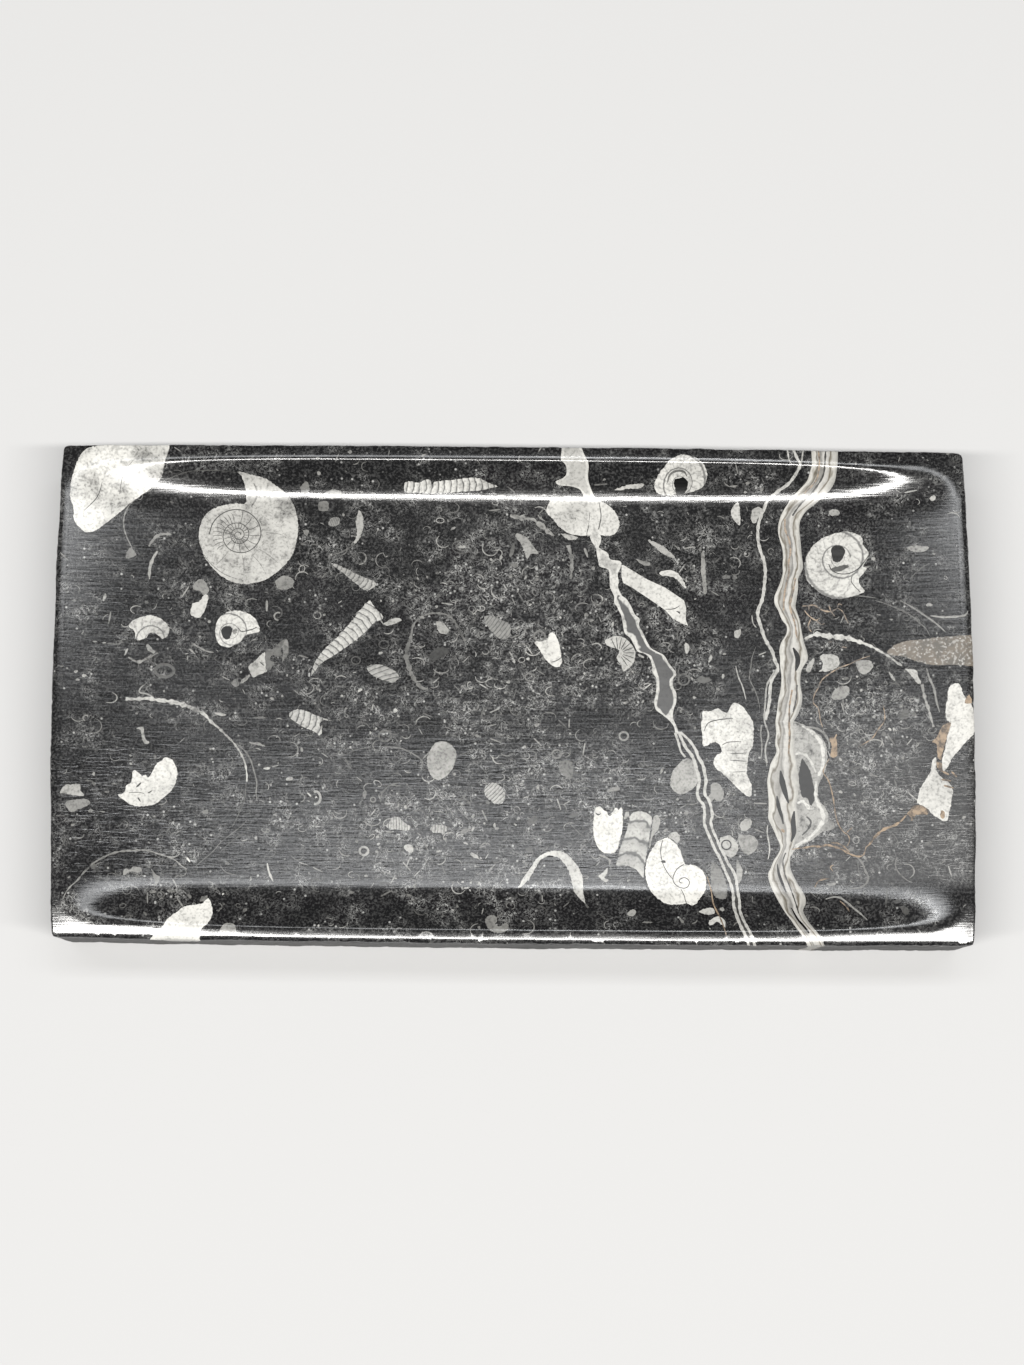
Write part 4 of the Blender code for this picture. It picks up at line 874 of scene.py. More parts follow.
# Rusty lines and crumbs: width, points
ironLines = [
    (0.22, 65, 7.5, 63.2, 6.9, 61.5, 6.1, 59.4, 5.3, 57.6, 4.2, 56.3, 3.1, 55.6, 1.6, 54.9, 0.4, 54.7, -1.1,
     55.6, -2.2, 55.9, -4.3, 56.3, -5.6),
    (0.32, 58.8, -6.9, 58.2, -8.4, 58.4, -9.9),
    (0.22, 57.4, -11.4, 56.3, -13.7, 57.1, -15.2, 57.6, -16.6, 58, -18.5, 58.2, -20, 58.5, -22, 59, -23.6,
     59.8, -24.8, 60.6, -25.4, 60.9, -26.4, 60.4, -27.4),
    (0.2, 67.2, -1.6, 67.4, -4.3, 66.2, -6.1, 65, -7.8, 62.6, -9.3),
    (0.34, 50.5, -28, 51.6, -27.8, 52.8, -27.7, 54.2, -27.4, 55.6, -27.5, 56.8, -27.2, 58.2, -27.5, 59.4, -27.9,
     60.5, -28.6, 61.6, -29.1, 62.6, -29.3, 63.4, -28.9, 63.8, -27.6),
    (0.45, 71, -21.8, 70, -22.9, 68.8, -23.7, 67.4, -24.2, 66.4, -24.8, 65.4, -25.8, 64.4, -27.1, 63.8, -27.6),
    (0.28, 57.6, -26.8, 58.8, -26.9, 60, -27.6, 60.9, -28.5),
    (0.25, 60.4, -24.9, 60.9, -24.5, 61.4, -24),
    (0.24, 54.6, -34.9, 55.2, -33.8, 56.2, -33.4, 57.2, -33.3),
    (0.2, 58, -30.8, 57.4, -31.2, 57.9, -32),
    (0.22, 59, -37.3, 60, -38.2, 60.7, -39.3),
    (0.24, 35.2, -33, 35.9, -35.5, 36.3, -38, 37.6, -41, 38.5, -44),
    (0.28, 53, 16.8, 54.2, 16.9, 55, 17, 55.8, 16.6, 56.8, 16, 58.2, 15.8, 59.4, 16.4),
    (0.22, 58.2, 15.8, 57.8, 17),
    (0.22, 54.2, 16.9, 54.2, 16),
    (0.25, 60, 9.2, 60.9, 9.1),
    (0.22, 53.4, 16, 54.2, 15, 55.4, 14.2, 56.2, 14.6),
    (0.2, 54.5, 14.4, 54, 13, 54.6, 12),
    (0.2, 59.4, 16.4, 60.3, 15.8, 60.8, 14.6, 61.3, 13.6),
    (0.18, 55.4, 14.2, 56.4, 13.4, 57, 13.6),
    (0.2, 58.2, 15.8, 58.9, 14.9),
    (0.18, 59.4, 16.4, 59.6, 17.2, 60.2, 17),
    (0.25, 57.5, 10.1, 58.3, 10.2),
    (0.5, 48.7, -24.3, 49.2, -24.9),
    (0.35, 77.4, -13.9, 78.6, -14.6),
    (0.35, 77.2, -15.4, 78.9, -15.7),
    (0.35, 77.6, -16.5, 79.3, -17),
    (0.3, 79, -14, 79.9, -15),
]
for width, *points in ironLines:
    stroke(points, width, 0.6, 0.6, "ironStain", ragged=0.5)
for points in (
    [77.6, -5.6, 79, -5, 78.5, -6.9, 77.9, -9, 77.5, -10.5, 77.2, -11.9, 76.6, -11.1, 76.5, -9, 75.7, -8.6,
     76.6, -7.5, 77.1, -6.4],
    [81.8, -0.5, 82.4, 0, 82.8, -1.4, 81.5, -1.5],
    [76.3, -12.2, 77.2, -12.4, 77.4, -14, 76.8, -13.8],
    [71.1, -21.7, 71.7, -20.9, 72.2, -20.2, 73, -20, 74.2, -20.3, 74.9, -21, 74.6, -21.7, 73.5, -21.7,
     72.6, -21.9, 72.2, -22.6, 71.9, -23, 71.7, -22.2],
    [77, -21.2, 77.6, -21.2, 77.7, -22.4, 77.1, -22.5],
    [57.5, -7.6, 58.7, -7.8, 58.8, -10.8, 57.6, -11, 57.9, -9.2],
):
    blob(points, 0.45, 0.6, "ironStain")
blob([68.1, 8.1, 69.1, 9.2, 70.9, 10, 73.8, 10.4, 76.8, 10.7, 79.7, 10.9, 84.5, 10.6, 84.5, 5.7, 79.7, 5.6,
      76.8, 5.6, 75, 5.9, 73.2, 6.4, 71.2, 7.2, 69.1, 7.6], 0.5, 0.7, "sandLens")
print(len(marks), "marks in all")

print("stone")

# Spacing of the points that carry the form, in millimetres
spacing = {"across": 1.5, "alongWall": 0.42, "along": 1.7, "rim": 0.6, "outline": 0.6, "sawnRows": 16}
# Rows of points beside the outline and the crest, as distances inwards
edgeInsets = (0.0, 0.02, 0.07, 0.16, 0.30, 0.50)
crestInsets = (-0.9, -0.35, -0.12, 0.0, 0.12, 0.35, 0.8)

# Order of the stone's material slots
finishes = ["limestone", "calcite", "coilShell", "segmentedShell", "vein", "borderedVein", "ironStain",
            "sandLens", "sawnStone"]


def roundedBox(inset, step):
    # Points round the outline of the slab, drawn in by the inset
    radius = max(slab["cornerRadius"] - inset, 0.05)
    hx, hy = halfLength - inset, halfWidth - inset
    points = []
    for cx, cy, start in ((hx, hy, 0), (-hx, hy, 90), (-hx, -hy, 180), (hx, -hy, 270)):
        mx, my = math.copysign(hx - radius, cx), math.copysign(hy - radius, cy)
        for k in range(9):
            angle = math.radians(start + 90 * k / 8)
            points.append((mx + radius * math.cos(angle), my + radius * math.sin(angle)))
    return refined(points, step)


def box(hx, hy, step):
    return refined([(hx, hy), (-hx, hy), (-hx, -hy), (hx, -hy)], step)


def refined(points, step):
    out = []
    for a, b in zip(points, points[1:] + points[:1]):
        count = max(1, round(math.dist(a, b) / step))
        out += [(a[0] + (b[0] - a[0]) * t / count, a[1] + (b[1] - a[1]) * t / count) for t in range(count)]
    return out


def formPoints():
    # Closest where the top bends: on the walls, along the crest and at the edge
    rows = list(np.arange(-(sideCrest - slab["wallWidth"]), sideCrest - slab["wallWidth"], spacing["across"]))
    wall = sideCrest - slab["wallWidth"] + np.arange(0, slab["wallWidth"] - 0.9, spacing["alongWall"])
    points = []
    for k, y in enumerate(sorted(rows + list(wall) + list(-wall))):
        shift = spacing["along"] / 2 * (k % 2)
        points += [(x + shift, y) for x in np.arange(-endCrest + 1.2, endCrest - 1.8, spacing["along"])]
    for inset in crestInsets:
        points += box(endCrest - inset, sideCrest - inset, spacing["rim"])
    for inset in edgeInsets[1:] + (1.1,):
        points += roundedBox(inset, spacing["rim"])
    return points


def underPoints():
    xs, ys = np.arange(-halfLength + 3, halfLength - 2, 4.0), np.arange(-halfWidth + 3, halfWidth - 2, 4.0)
    return [(x, y) for x in xs for y in ys]


def planMesh(outline, carriers, loops, keepClear=0.0):
    # Triangles of the plan, with the outline and every marking as edges
    points = list(outline) + carriers
    edges = [(i, (i + 1) % len(outline)) for i in range(len(outline))]
    for loop in loops:
        start, count = len(points), len(loop)
        held = (np.abs(loop) < (halfLength - keepClear, halfWidth - keepClear)).all(axis=1) | (keepClear == 0)
        points += [tuple(p) for p in loop]
        edges += [(start + i, start + (i + 1) % count) for i in range(count)
                  if held[i] and held[(i + 1) % count]]
    verts, _, faces, fromVerts, _, _ = delaunay_2d_cdt([Vector(p) for p in points], edges, [], 0, 1e-4, True)
    verts, faces = np.array([v[:] for v in verts]), np.array(faces)
    faces = faces[inside(verts[faces].mean(axis=1), np.array(outline))]
    a, b = verts[faces[:, 1]] - verts[faces[:, 0]], verts[faces[:, 2]] - verts[faces[:, 0]]
    turned = a[:, 0] * b[:, 1] < a[:, 1] * b[:, 0]
    faces[turned] = faces[turned][:, ::-1]
    places = {}
    for index, sources in enumerate(fromVerts):
        for source in sources:
            places[source] = index
    used, compact = np.unique(faces, return_inverse=True)
    renumbered = {old: index for index, old in enumerate(used.tolist())}
    return verts[used], compact.reshape(-1, 3), [renumbered.get(places[i]) for i in range(len(outline))]


def boundaryLoop(faces):
    # The points of the open edge, in order round it
    ways = dict.fromkeys((a, b) for face in faces.tolist() for a, b in zip(face, face[1:] + face[:1]))
    edge = {a: b for a, b in ways if (b, a) not in ways}
    loop = [next(iter(edge))]
    while edge[loop[-1]] != loop[0]:
        loop.append(edge[loop[-1]])
    return loop


def markOfFaces(middle, chosen):
    found = np.full(len(middle), -1)
    for index, mark in enumerate(chosen):
        low, high = mark["outline"].min(axis=0), mark["outline"].max(axis=0)
        near = np.flatnonzero(((middle > low) & (middle < high)).all(axis=1))
        found[near[inside(middle[near], mark["outline"])]] = index
    return found


underside = {"mirrored": (-0.97, -0.95), "duller": 0.85}


def underMarks():
    # The underside shows the same veins, and other shells
    chosen = []
    for mark in marks:
        if mark["finish"] in ("vein", "borderedVein"):
            chosen.append(mark)
        elif mark["uv"] is None and mark["tone"] > 0.4 and np.ptp(mark["outline"][:, 0]) > 1.2:
            chosen.append({**mark, "outline": mark["outline"] * underside["mirrored"],
                           "tone": mark["tone"] * underside["duller"]})
    return chosen


def faceFacts(verts, faces, chosen):
    # Slot, colour facts and pattern places for each corner of each triangle
    owner = markOfFaces(verts[faces].mean(axis=1), chosen)
    slots = np.zeros(len(faces), int)
    facts = np.zeros((len(faces), 4))
    places = verts[faces] / 10
    for index in np.unique(owner[owner >= 0]):
        mark, own = chosen[index], owner == index
        slots[own] = finishes.index(mark["finish"])
        facts[own] = (mark["tone"], mark["mottle"], 0, 1)
        if mark["uv"]:
            places[own] = mark["uv"](verts[faces[own]].reshape(-1, 2)).reshape(-1, 3, 2)
    return owner, slots, facts, places


def slideAlong(loopPoints, walked, depth):
    # The saw cuts the markings aslant, so they wander on their way down, except at the corners
    fromCorner = halfLength - np.abs(loopPoints[:, 0]) + halfWidth - np.abs(loopPoints[:, 1])
    free = np.clip((fromCorner - 3) / 6, 0, 1)
    wander = 1.5 * np.sin(walked[:-1] / 9) + 0.5 * math.sin(depth * 0.8)
    shift = np.sin(math.pi * depth / slab["thickness"]) * wander
    to = (walked[:-1] + shift * free) % walked[-1]
    closed = np.vstack([loopPoints, loopPoints[:1]])
    return np.c_[np.interp(to, walked, closed[:, 0]), np.interp(to, walked, closed[:, 1])]


def depthsOfMarks(owners, walked):
    # How deep each shell cut by the edge reaches: for each stretch of edge, its depth at both ends
    count = len(owners)
    depths = np.zeros((count, 2))
    i = 0
    while i < count:
        j = i
        while j + 1 < count and owners[j + 1] == owners[i]:
            j += 1
        low, high = walked[i], walked[j + 1]
        deep = min(max(0.75 * (high - low), 1.0), 8.0)
        for k in range(i, j + 1):
            for end in (0, 1):
                u = 2 * (walked[k + end] - low) / (high - low) - 1
                depths[k, end] = deep * math.sqrt(max(1 - u * u, 0.03))
        i = j + 1
    return depths


def buildStone():
    top, topFaces, _ = planMesh(roundedBox(0.0, spacing["outline"]), formPoints(),
                                [mark["outline"] for mark in marks])
    loop = boundaryLoop(topFaces)
    owner, slots, facts, places = faceFacts(top, topFaces, marks)
    below = underMarks()
    under, underFaces, underLoop = planMesh([tuple(top[i]) for i in loop], underPoints(),
                                            [mark["outline"] for mark in below], keepClear=0.8)
    _, underSlots, underFacts, underPlaces = faceFacts(under, underFaces, below)
    sawn = finishes.index("sawnStone")

    # The sides carry each marking down from the edge of the top
    ring, rows = len(loop), spacing["sawnRows"]
    edgeFace = {}
    for index, face in enumerate(topFaces.tolist()):
        for a, b in zip(face, face[1:] + face[:1]):
            edgeFace[(a, b)] = index
    walked = np.r_[0, np.cumsum(np.linalg.norm(np.roll(top[loop], -1, axis=0) - top[loop], axis=1))]
    rowDepths = slab["thickness"] * np.arange(rows + 2) / rows
    sideVerts = np.vstack([slideAlong(top[loop], walked, depth) for depth in rowDepths[1:-1]])
    sources = [edgeFace[(loop[i], loop[(i + 1) % ring])] for i in range(ring)]
    reach = depthsOfMarks(owner[sources], walked)
    throughgoing = [finishes.index("vein"), finishes.index("borderedVein")]
    sideRise = np.repeat(1 - np.arange(1, rows + 1) / rows, ring)
    firstSide, firstUnder = len(top), len(top) + len(sideVerts)
    levels = [loop] + [[firstSide + r * ring + i for i in range(ring)] for r in range(rows)]
    levels.append([firstUnder + i for i in underLoop])
    sideFaces, sideSlots, sideFacts = [], [], []
    for row, (upper, lower) in enumerate(zip(levels, levels[1:])):
        for i in range(ring):
            j = (i + 1) % ring
            source = sources[i]
            through = slots[source] in throughgoing
            gone = not through and rowDepths[row] > 1.3 * reach[i].max()
            sideFaces.append((lower[i], lower[j], upper[j], upper[i]))
            sideSlots.append(sawn if gone else slots[source] or sawn)
            for k, end in ((row + 1, 0), (row + 1, 1), (row, 1), (row, 0)):
                cover = 1.0 if through else 1 - rowDepths[k] / reach[i, end]
                sideFacts.append((*facts[source][:3], max(cover, -1.0)))
    underSlots[underSlots == 0] = sawn

    verts = np.vstack([top, sideVerts, under]) / 1000
    faces = topFaces.tolist() + sideFaces + (underFaces[:, ::-1] + firstUnder).tolist()
    mesh = bpy.data.meshes.new("stone")
    mesh.from_pydata([(x, y, 0) for x, y in verts], [], faces)
    allSlots = np.concatenate([slots, sideSlots, underSlots])
    mesh.polygons.foreach_set("material_index", allSlots)
    colour = np.vstack([np.repeat(facts, 3, axis=0), sideFacts, np.repeat(underFacts, 3, axis=0)])
    sidePlaces = [places.reshape(-1, 2)[3 * source] for source in sources]
    uv = np.vstack([places.reshape(-1, 2), np.repeat(np.array(sidePlaces * (rows + 1)), 4, axis=0),
                    underPlaces[:, ::-1].reshape(-1, 2)])
    mesh.attributes.new("mark", "FLOAT_COLOR", "CORNER").data.foreach_set("color", colour.ravel())
    mesh.uv_layers.new(name="pattern").data.foreach_set("uv", uv.ravel())
    rise = np.concatenate([np.ones(len(top)), sideRise, -np.ones(len(under))])
    mesh.attributes.new("rise", "FLOAT", "POINT").data.foreach_set("value", rise)
    mesh.attributes.new("crowding", "FLOAT", "POINT").data.foreach_set("value", crowdingAt(verts * 1000))
    mesh.attributes.new("sawn", "BOOLEAN", "FACE").data.foreach_set("value", allSlots == sawn)
    mesh.shade_smooth()
    mesh.validate()
    stone = bpy.data.objects.new("fossil_stone", mesh)
    bpy.context.scene.collection.objects.link(stone)
    print(len(mesh.vertices), "points,", len(mesh.polygons), "faces")
    return stone


# Small helpers for node trees
def addNode(tree, kind, inputs=None, **settings):
    made = tree.nodes.new(kind)
    for name, value in settings.items():
        setattr(made, name, value)
    for name, value in (inputs or {}).items():
        if isinstance(value, bpy.types.NodeSocket):
            tree.links.new(value, made.inputs[name])
        else:
            made.inputs[name].default_value = value
    return made


def treeOf(*values):
    return next(value.id_data for value in values if isinstance(value, bpy.types.NodeSocket))


def calc(operation, a, b=0.0):
    return addNode(treeOf(a, b), "ShaderNodeMath", {0: a, 1: b}, operation=operation).outputs[0]


plus, minus = partial(calc, "ADD"), partial(calc, "SUBTRACT")
times, over = partial(calc, "MULTIPLY"), partial(calc, "DIVIDE")
least, most = partial(calc, "MINIMUM"), partial(calc, "MAXIMUM")


def ease(value, low, high, toLow=0.0, toHigh=1.0):
    inputs = {"Value": value, "From Min": low, "From Max": high, "To Min": toLow, "To Max": toHigh}
    return addNode(treeOf(value), "ShaderNodeMapRange", inputs, interpolation_type="SMOOTHSTEP").outputs[0]


def noise(place, scale, detail, roughness=0.5, distortion=0.0):
    inputs = {"Vector": place, "Scale": scale, "Detail": detail, "Roughness": roughness, "Distortion": distortion}
    return addNode(treeOf(place), "ShaderNodeTexNoise", inputs).outputs[0]


def cellsAt(place, scale):
    return addNode(treeOf(place), "ShaderNodeTexVoronoi", {"Vector": place, "Scale": scale}).outputs


def parts(vector):
    return addNode(treeOf(vector), "ShaderNodeSeparateXYZ", {0: vector}).outputs


def stretched(place, scale, turn=0.0):
    inputs = {"Vector": place, "Rotation": (0, 0, turn), "Scale": scale}
    return addNode(treeOf(place), "ShaderNodeMapping", inputs).outputs[0]


def objectPlace(tree):
    return addNode(tree, "ShaderNodeTexCoord").outputs["Object"]


def patternPlace(tree):
    return addNode(tree, "ShaderNodeUVMap", uv_map="pattern").outputs[0]


def meshFact(tree, name, output="Fac"):
    return addNode(tree, "ShaderNodeAttribute", attribute_name=name).outputs[output]


def addGroup(tree, name, inputs=None):
    return addNode(tree, "ShaderNodeGroup", inputs, node_tree=groups[name])


def mixColours(factor, a, b):
    return addNode(treeOf(factor, a, b), "ShaderNodeMix", {0: factor, 6: a, 7: b}, data_type="RGBA").outputs[2]


def startTree(name, kind, inputs, outputs):
    # A new tree with its sockets: a number is an input's value, a word its type
    tree = bpy.data.node_groups.new(name, kind)
    for way, sockets in (("INPUT", inputs), ("OUTPUT", outputs)):
        for label, value in sockets.items():
            socketType = value if isinstance(value, str) else "NodeSocketFloat"
            socket = tree.interface.new_socket(label, in_out=way, socket_type=socketType)
            if not isinstance(value, str):
                socket.default_value = value
    return tree, tree.nodes.new("NodeGroupInput").outputs, tree.nodes.new("NodeGroupOutput")


def words(name):
    # sideLand becomes Side Land, as the inputs of the form tree are named
    return "".join(" " + c if c.isupper() else c for c in name).strip().title()


def formTree():
    # Lifts the flat plan to the dished top, the upright sides and the underside
    inputs = {"Geometry": "NodeSocketGeometry", **{words(name): value for name, value in slab.items()},
              "Sawn Finish": "NodeSocketMaterial"}
    tree, given, out = startTree("dish_form", "GeometryNodeTree", inputs, {"Geometry": "NodeSocketGeometry"})
    place = addNode(tree, "GeometryNodeInputPosition").outputs[0]
    split = parts(place)
    x, y = times(split[0], 1000), times(split[1], 1000)
    ax, ay = calc("ABSOLUTE", x), calc("ABSOLUTE", y)
    hl, hw = times(given["Length"], 0.5), times(given["Width"], 0.5)
    ends = minus(hl, given["End Land"])
    sides = minus(hw, given["Side Land"])

    def soft(value):
        # The value where it is above nought, and a soft bend to nought below it
        w = given["Crest Softness"]
        root = calc("SQRT", plus(times(value, value), times(w, w)))
        return times(plus(value, root), 0.5)

    def square(value):
        return times(value, value)

    def fromOne(value):
        return minus(1.0, value)

    along = least(over(ax, ends), 1.0)
    pinch = plus(1.0, times(given["End Pinch"], calc("POWER", along, 6.0)))
    across = minus(sides, soft(minus(sides, times(ay, pinch))))
    basin = times(given["Basin Depth"], fromOne(square(over(across, sides))))
    wallFoot = minus(sides, given["Wall Width"])
    upWall = over(most(minus(across, wallFoot), 0.0), given["Wall Width"])
    wall = times(given["Wall Rise"], fromOne(square(upWall)))
    dish = times(plus(basin, wall), fromOne(calc("POWER", along, given["End Fade"])))

    def outside(longHalf, wideHalf, radius):
        # Distance beyond a rectangle with rounded corners, negative inside it
        overX = minus(ax, minus(longHalf, radius))
        overY = minus(ay, minus(wideHalf, radius))
        corner = calc("SQRT", plus(square(most(overX, 0.0)), square(most(overY, 0.0))))
        flank = least(most(overX, overY), 0.0)
        return minus(plus(corner, flank), radius)

    land = times(given["Land Fall"], soft(outside(ends, sides, given["Crest Corner"])))
    inset = times(outside(hl, hw, given["Corner Radius"]), -1.0)
    short = most(minus(given["Edge Radius"], inset), 0.0)
    left = most(minus(square(given["Edge Radius"]), square(short)), 0.0)
    rounding = minus(given["Edge Radius"], calc("SQRT", left))
    height = given["Thickness"]
    for drop in (dish, land, rounding):
        height = minus(height, drop)

    rise = addNode(tree, "GeometryNodeInputNamedAttribute", {"Name": "rise"}, data_type="FLOAT").outputs[0]
    above = calc("GREATER_THAN", rise, -0.5)
    foot = given["Foot Chamfer"]
    lifted = times(plus(foot, times(minus(height, foot), rise)), above)
    below = times(foot, fromOne(above))
    bowX = times(given["End Bow"], square(over(minus(y, given["End Bow Centre"]), hw)))
    bowY = times(given["Side Bow"], square(over(x, hl)))
    drawX, drawY = over(below, hl), over(below, hw)
    newX = times(x, fromOne(plus(bowX, drawX)))
    newY = times(y, fromOne(plus(bowY, drawY)))
    newY = minus(newY, times(given["Out Of Square"], x))

    # The saw and small chips leave the edge uneven, always inwards
    here = addNode(tree, "ShaderNodeCombineXYZ", {0: x, 1: y, 2: lifted}).outputs[0]
    coarse = noise(here, 0.11, 2.0)
    fine = noise(here, 0.8, 3.0, 0.6)
    uneven = plus(ease(coarse, 0.25, 0.75), ease(fine, 0.45, 0.8))
    depth = times(uneven, given["Saw Marks"])

    def bitten(place, reach, half):
        atEdge = ease(reach, minus(half, 0.45), half)
        return times(calc("SIGN", place), times(depth, atEdge))

    newX = minus(newX, bitten(x, ax, hl))
    newY = minus(newY, bitten(y, ay, hw))
    joined = addNode(tree, "ShaderNodeCombineXYZ", {0: newX, 1: newY, 2: lifted}).outputs[0]
    metres = addNode(tree, "ShaderNodeVectorMath", {0: joined, "Scale": 0.001}, operation="SCALE").outputs[0]
    formed = addNode(tree, "GeometryNodeSetPosition", {"Geometry": given["Geometry"], "Position": metres})

    realized = addNode(tree, "GeometryNodeRealizeInstances", {"Geometry": formed.outputs[0]})
    sawn = addNode(tree, "GeometryNodeInputNamedAttribute", {"Name": "sawn"}, data_type="BOOLEAN").outputs[0]
    finish = addNode(tree, "GeometryNodeSetMaterial", {"Geometry": realized.outputs[0], "Selection": sawn,
                                                       "Material": given["Sawn Finish"]})
    tree.links.new(finish.outputs[0], out.inputs[0])
    return tree


def applyTree(piece, tree, values):
    # Runs the tree on the piece and keeps the result as a plain mesh
    modifier = piece.modifiers.new(tree.name, "NODES")
    modifier.node_group = tree
    for item in tree.interface.items_tree:
        if item.in_out == "INPUT" and item.name in values:
            modifier[item.identifier] = values[item.name]
    graph = bpy.context.evaluated_depsgraph_get()
    mesh = bpy.data.meshes.new_from_object(piece.evaluated_get(graph), preserve_all_data_layers=True,
                                           depsgraph=graph)
    piece.modifiers.remove(modifier)
    old = piece.data
    piece.data = mesh
    bpy.data.meshes.remove(old)
    mesh.name = piece.name


# Shader effects shared by the finishes
def shellDustGroup():
    tree, given, out = startTree("shellDust", "ShaderNodeTree", {"Crowding": 0.5},
                                 {"Grain": "NodeSocketFloat", "Threads": "NodeSocketFloat"})
    place = objectPlace(tree)
    patches = noise(place, 190.0, 3.0)
    level = plus(patches, times(given["Crowding"], 0.30))
    patch = ease(level, 0.42, 0.80)
    fine = noise(place, 2300.0, 2.0, 0.6)
    spread = plus(0.45, times(patch, 0.55))
    tree.links.new(times(ease(fine, 0.44, 0.68), spread), out.inputs["Grain"])
    threads = []
    for scale, width in ((760.0, 0.020), (1350.0, 0.028)):
        wander = noise(place, scale, 1.5, 0.6, 0.9)
        offCentre = calc("ABSOLUTE", minus(wander, 0.5))
        threads.append(ease(offCentre, 0.3 * width, width, 1.0, 0.0))
    gaps = noise(place, 520.0, 1.0)
    both = most(threads[0], times(threads[1], 0.7))
    both = times(times(both, ease(gaps, 0.40, 0.56)), patch)
    cells = cellsAt(place, 1050.0)
    pick = addNode(tree, "ShaderNodeSeparateColor", {0: cells["Color"]}).outputs[0]
    pick = ease(plus(pick, times(patch, 0.25)), 0.90, 1.05)
    speck = times(ease(cells["Distance"], 0.12, 0.30, 1.0, 0.0), pick)
    tree.links.new(most(both, speck), out.inputs["Threads"])
    return tree


# Where the polish is scratched, in metres: each pair is where that begins and where it is full
scratched = {
    "hairsFromFar": (-0.004, -0.015), "hairsFromNear": (-0.0350, -0.0310),
    "rubFromLeft": (0.018, 0.068), "rubFromFar": (0.006, -0.018), "rubFromNear": (-0.0375, -0.033),
    "landIsSmoother": (0.0420, 0.0434),
}


def polishGroup():
    tree, given, out = startTree("brushedPolish", "ShaderNodeTree",
                                 {"Base Roughness": 0.2, "Scratch Depth": 1.0},
                                 {"Roughness": "NodeSocketFloat", "Height": "NodeSocketFloat"})
    place = objectPlace(tree)
    streak = noise(stretched(place, (70, 1700, 900), 0.06), 1.0, 3.0, 0.7)
    hairs = noise(stretched(place, (360, 3000, 900), -0.10), 1.0, 2.0, distortion=0.3)
    worn = noise(place, 45.0, 3.0)
    split = parts(place)
    nearBasin = times(ease(split[1], *scratched["hairsFromFar"]), ease(split[1], *scratched["hairsFromNear"]))
    hairs = times(ease(hairs, 0.50, 0.74), times(nearBasin, 0.55))
    rubbed = times(ease(split[0], *scratched["rubFromLeft"]), ease(split[1], *scratched["rubFromFar"]))
    rubbed = times(rubbed, ease(split[1], *scratched["rubFromNear"]))
    uneven = plus(times(minus(worn, 0.5), 0.12), times(minus(streak, 0.5), 0.16))
    rough = plus(plus(given["Base Roughness"], uneven), times(rubbed, 0.17))
    tree.links.new(rough, out.inputs["Roughness"])
    deeper = times(given["Scratch Depth"], plus(1.0, times(rubbed, 1.6)))
    deeper = times(deeper, ease(calc("ABSOLUTE", split[1]), *scratched["landIsSmoother"], 1.0, 0.35))
    tree.links.new(times(plus(streak, hairs), deeper), out.inputs["Height"])
    return tree


calciteTint = (0.80, 0.79, 0.745)  # of the whitest calcite


def calciteGroup():
    tree, given, out = startTree("calciteGrain", "ShaderNodeTree", {"Tone": 0.8, "Mottle": 0.4},
                                 {"Color": "NodeSocketColor", "Height": "NodeSocketFloat"})
    place = objectPlace(tree)
    cloud = noise(place, 430.0, 5.0, 0.68, 0.4)
    fine = noise(place, 2100.0, 2.0)
    broad = noise(place, 150.0, 2.0)
    seams = noise(place, 300.0, 3.0, distortion=1.2)
    hair = ease(calc("ABSOLUTE", minus(seams, 0.5)), 0.0, 0.022, 1.0, 0.0)
    loss = times(ease(cloud, 0.44, 0.74), times(given["Mottle"], 0.62))
    loss = plus(loss, times(ease(broad, 0.40, 0.72), times(given["Mottle"], 0.42)))
    loss = plus(loss, times(hair, times(given["Mottle"], 0.20)))
    loss = plus(loss, ease(fine, 0.45, 0.72, 0.0, 0.34))
    shade = times(calc("POWER", given["Tone"], 1.9), minus(1.0, least(loss, 0.9)))
    tinted = {channel: times(shade, share) for channel, share in enumerate(calciteTint)}
    tree.links.new(addNode(tree, "ShaderNodeCombineColor", tinted).outputs[0], out.inputs["Color"])
    tree.links.new(cloud, out.inputs["Height"])
    return tree


def coilGroup():
    tree, given, out = startTree("coilLines", "ShaderNodeTree", {"Growth": 2.1, "Walls": 14.0, "Sweep": 1.1},
                                 {"Whorl": "NodeSocketFloat", "Wall": "NodeSocketFloat"})
    place = patternPlace(tree)
    sway = noise(place, 2.2, 1.0)
    split = parts(place)
    angle = over(calc("ARCTAN2", split[1], split[0]), math.tau)
    length = addNode(tree, "ShaderNodeVectorMath", {0: place}, operation="LENGTH").outputs["Value"]
    turns = calc("LOGARITHM", most(length, 0.02), given["Growth"])
    phase = plus(minus(turns, angle), times(sway, 0.12))
    part = calc("FRACT", phase)
    edge = least(part, minus(1.0, part))
    whorl = ease(edge, 0.03, 0.09, 1.0, 0.0)
    swept = plus(times(angle, given["Walls"]), times(times(part, part), given["Sweep"]))
    wallPart = calc("FRACT", plus(swept, times(sway, 0.5)))
    wallEdge = least(wallPart, minus(1.0, wallPart))
    tree.links.new(whorl, out.inputs["Whorl"])
    tree.links.new(ease(wallEdge, 0.03, 0.12, 1.0, 0.0), out.inputs["Wall"])
    return tree


print("finishes")

groups = {"shellDust": shellDustGroup(), "brushedPolish": polishGroup(), "calciteGrain": calciteGroup(),
          "coilLines": coilGroup()}

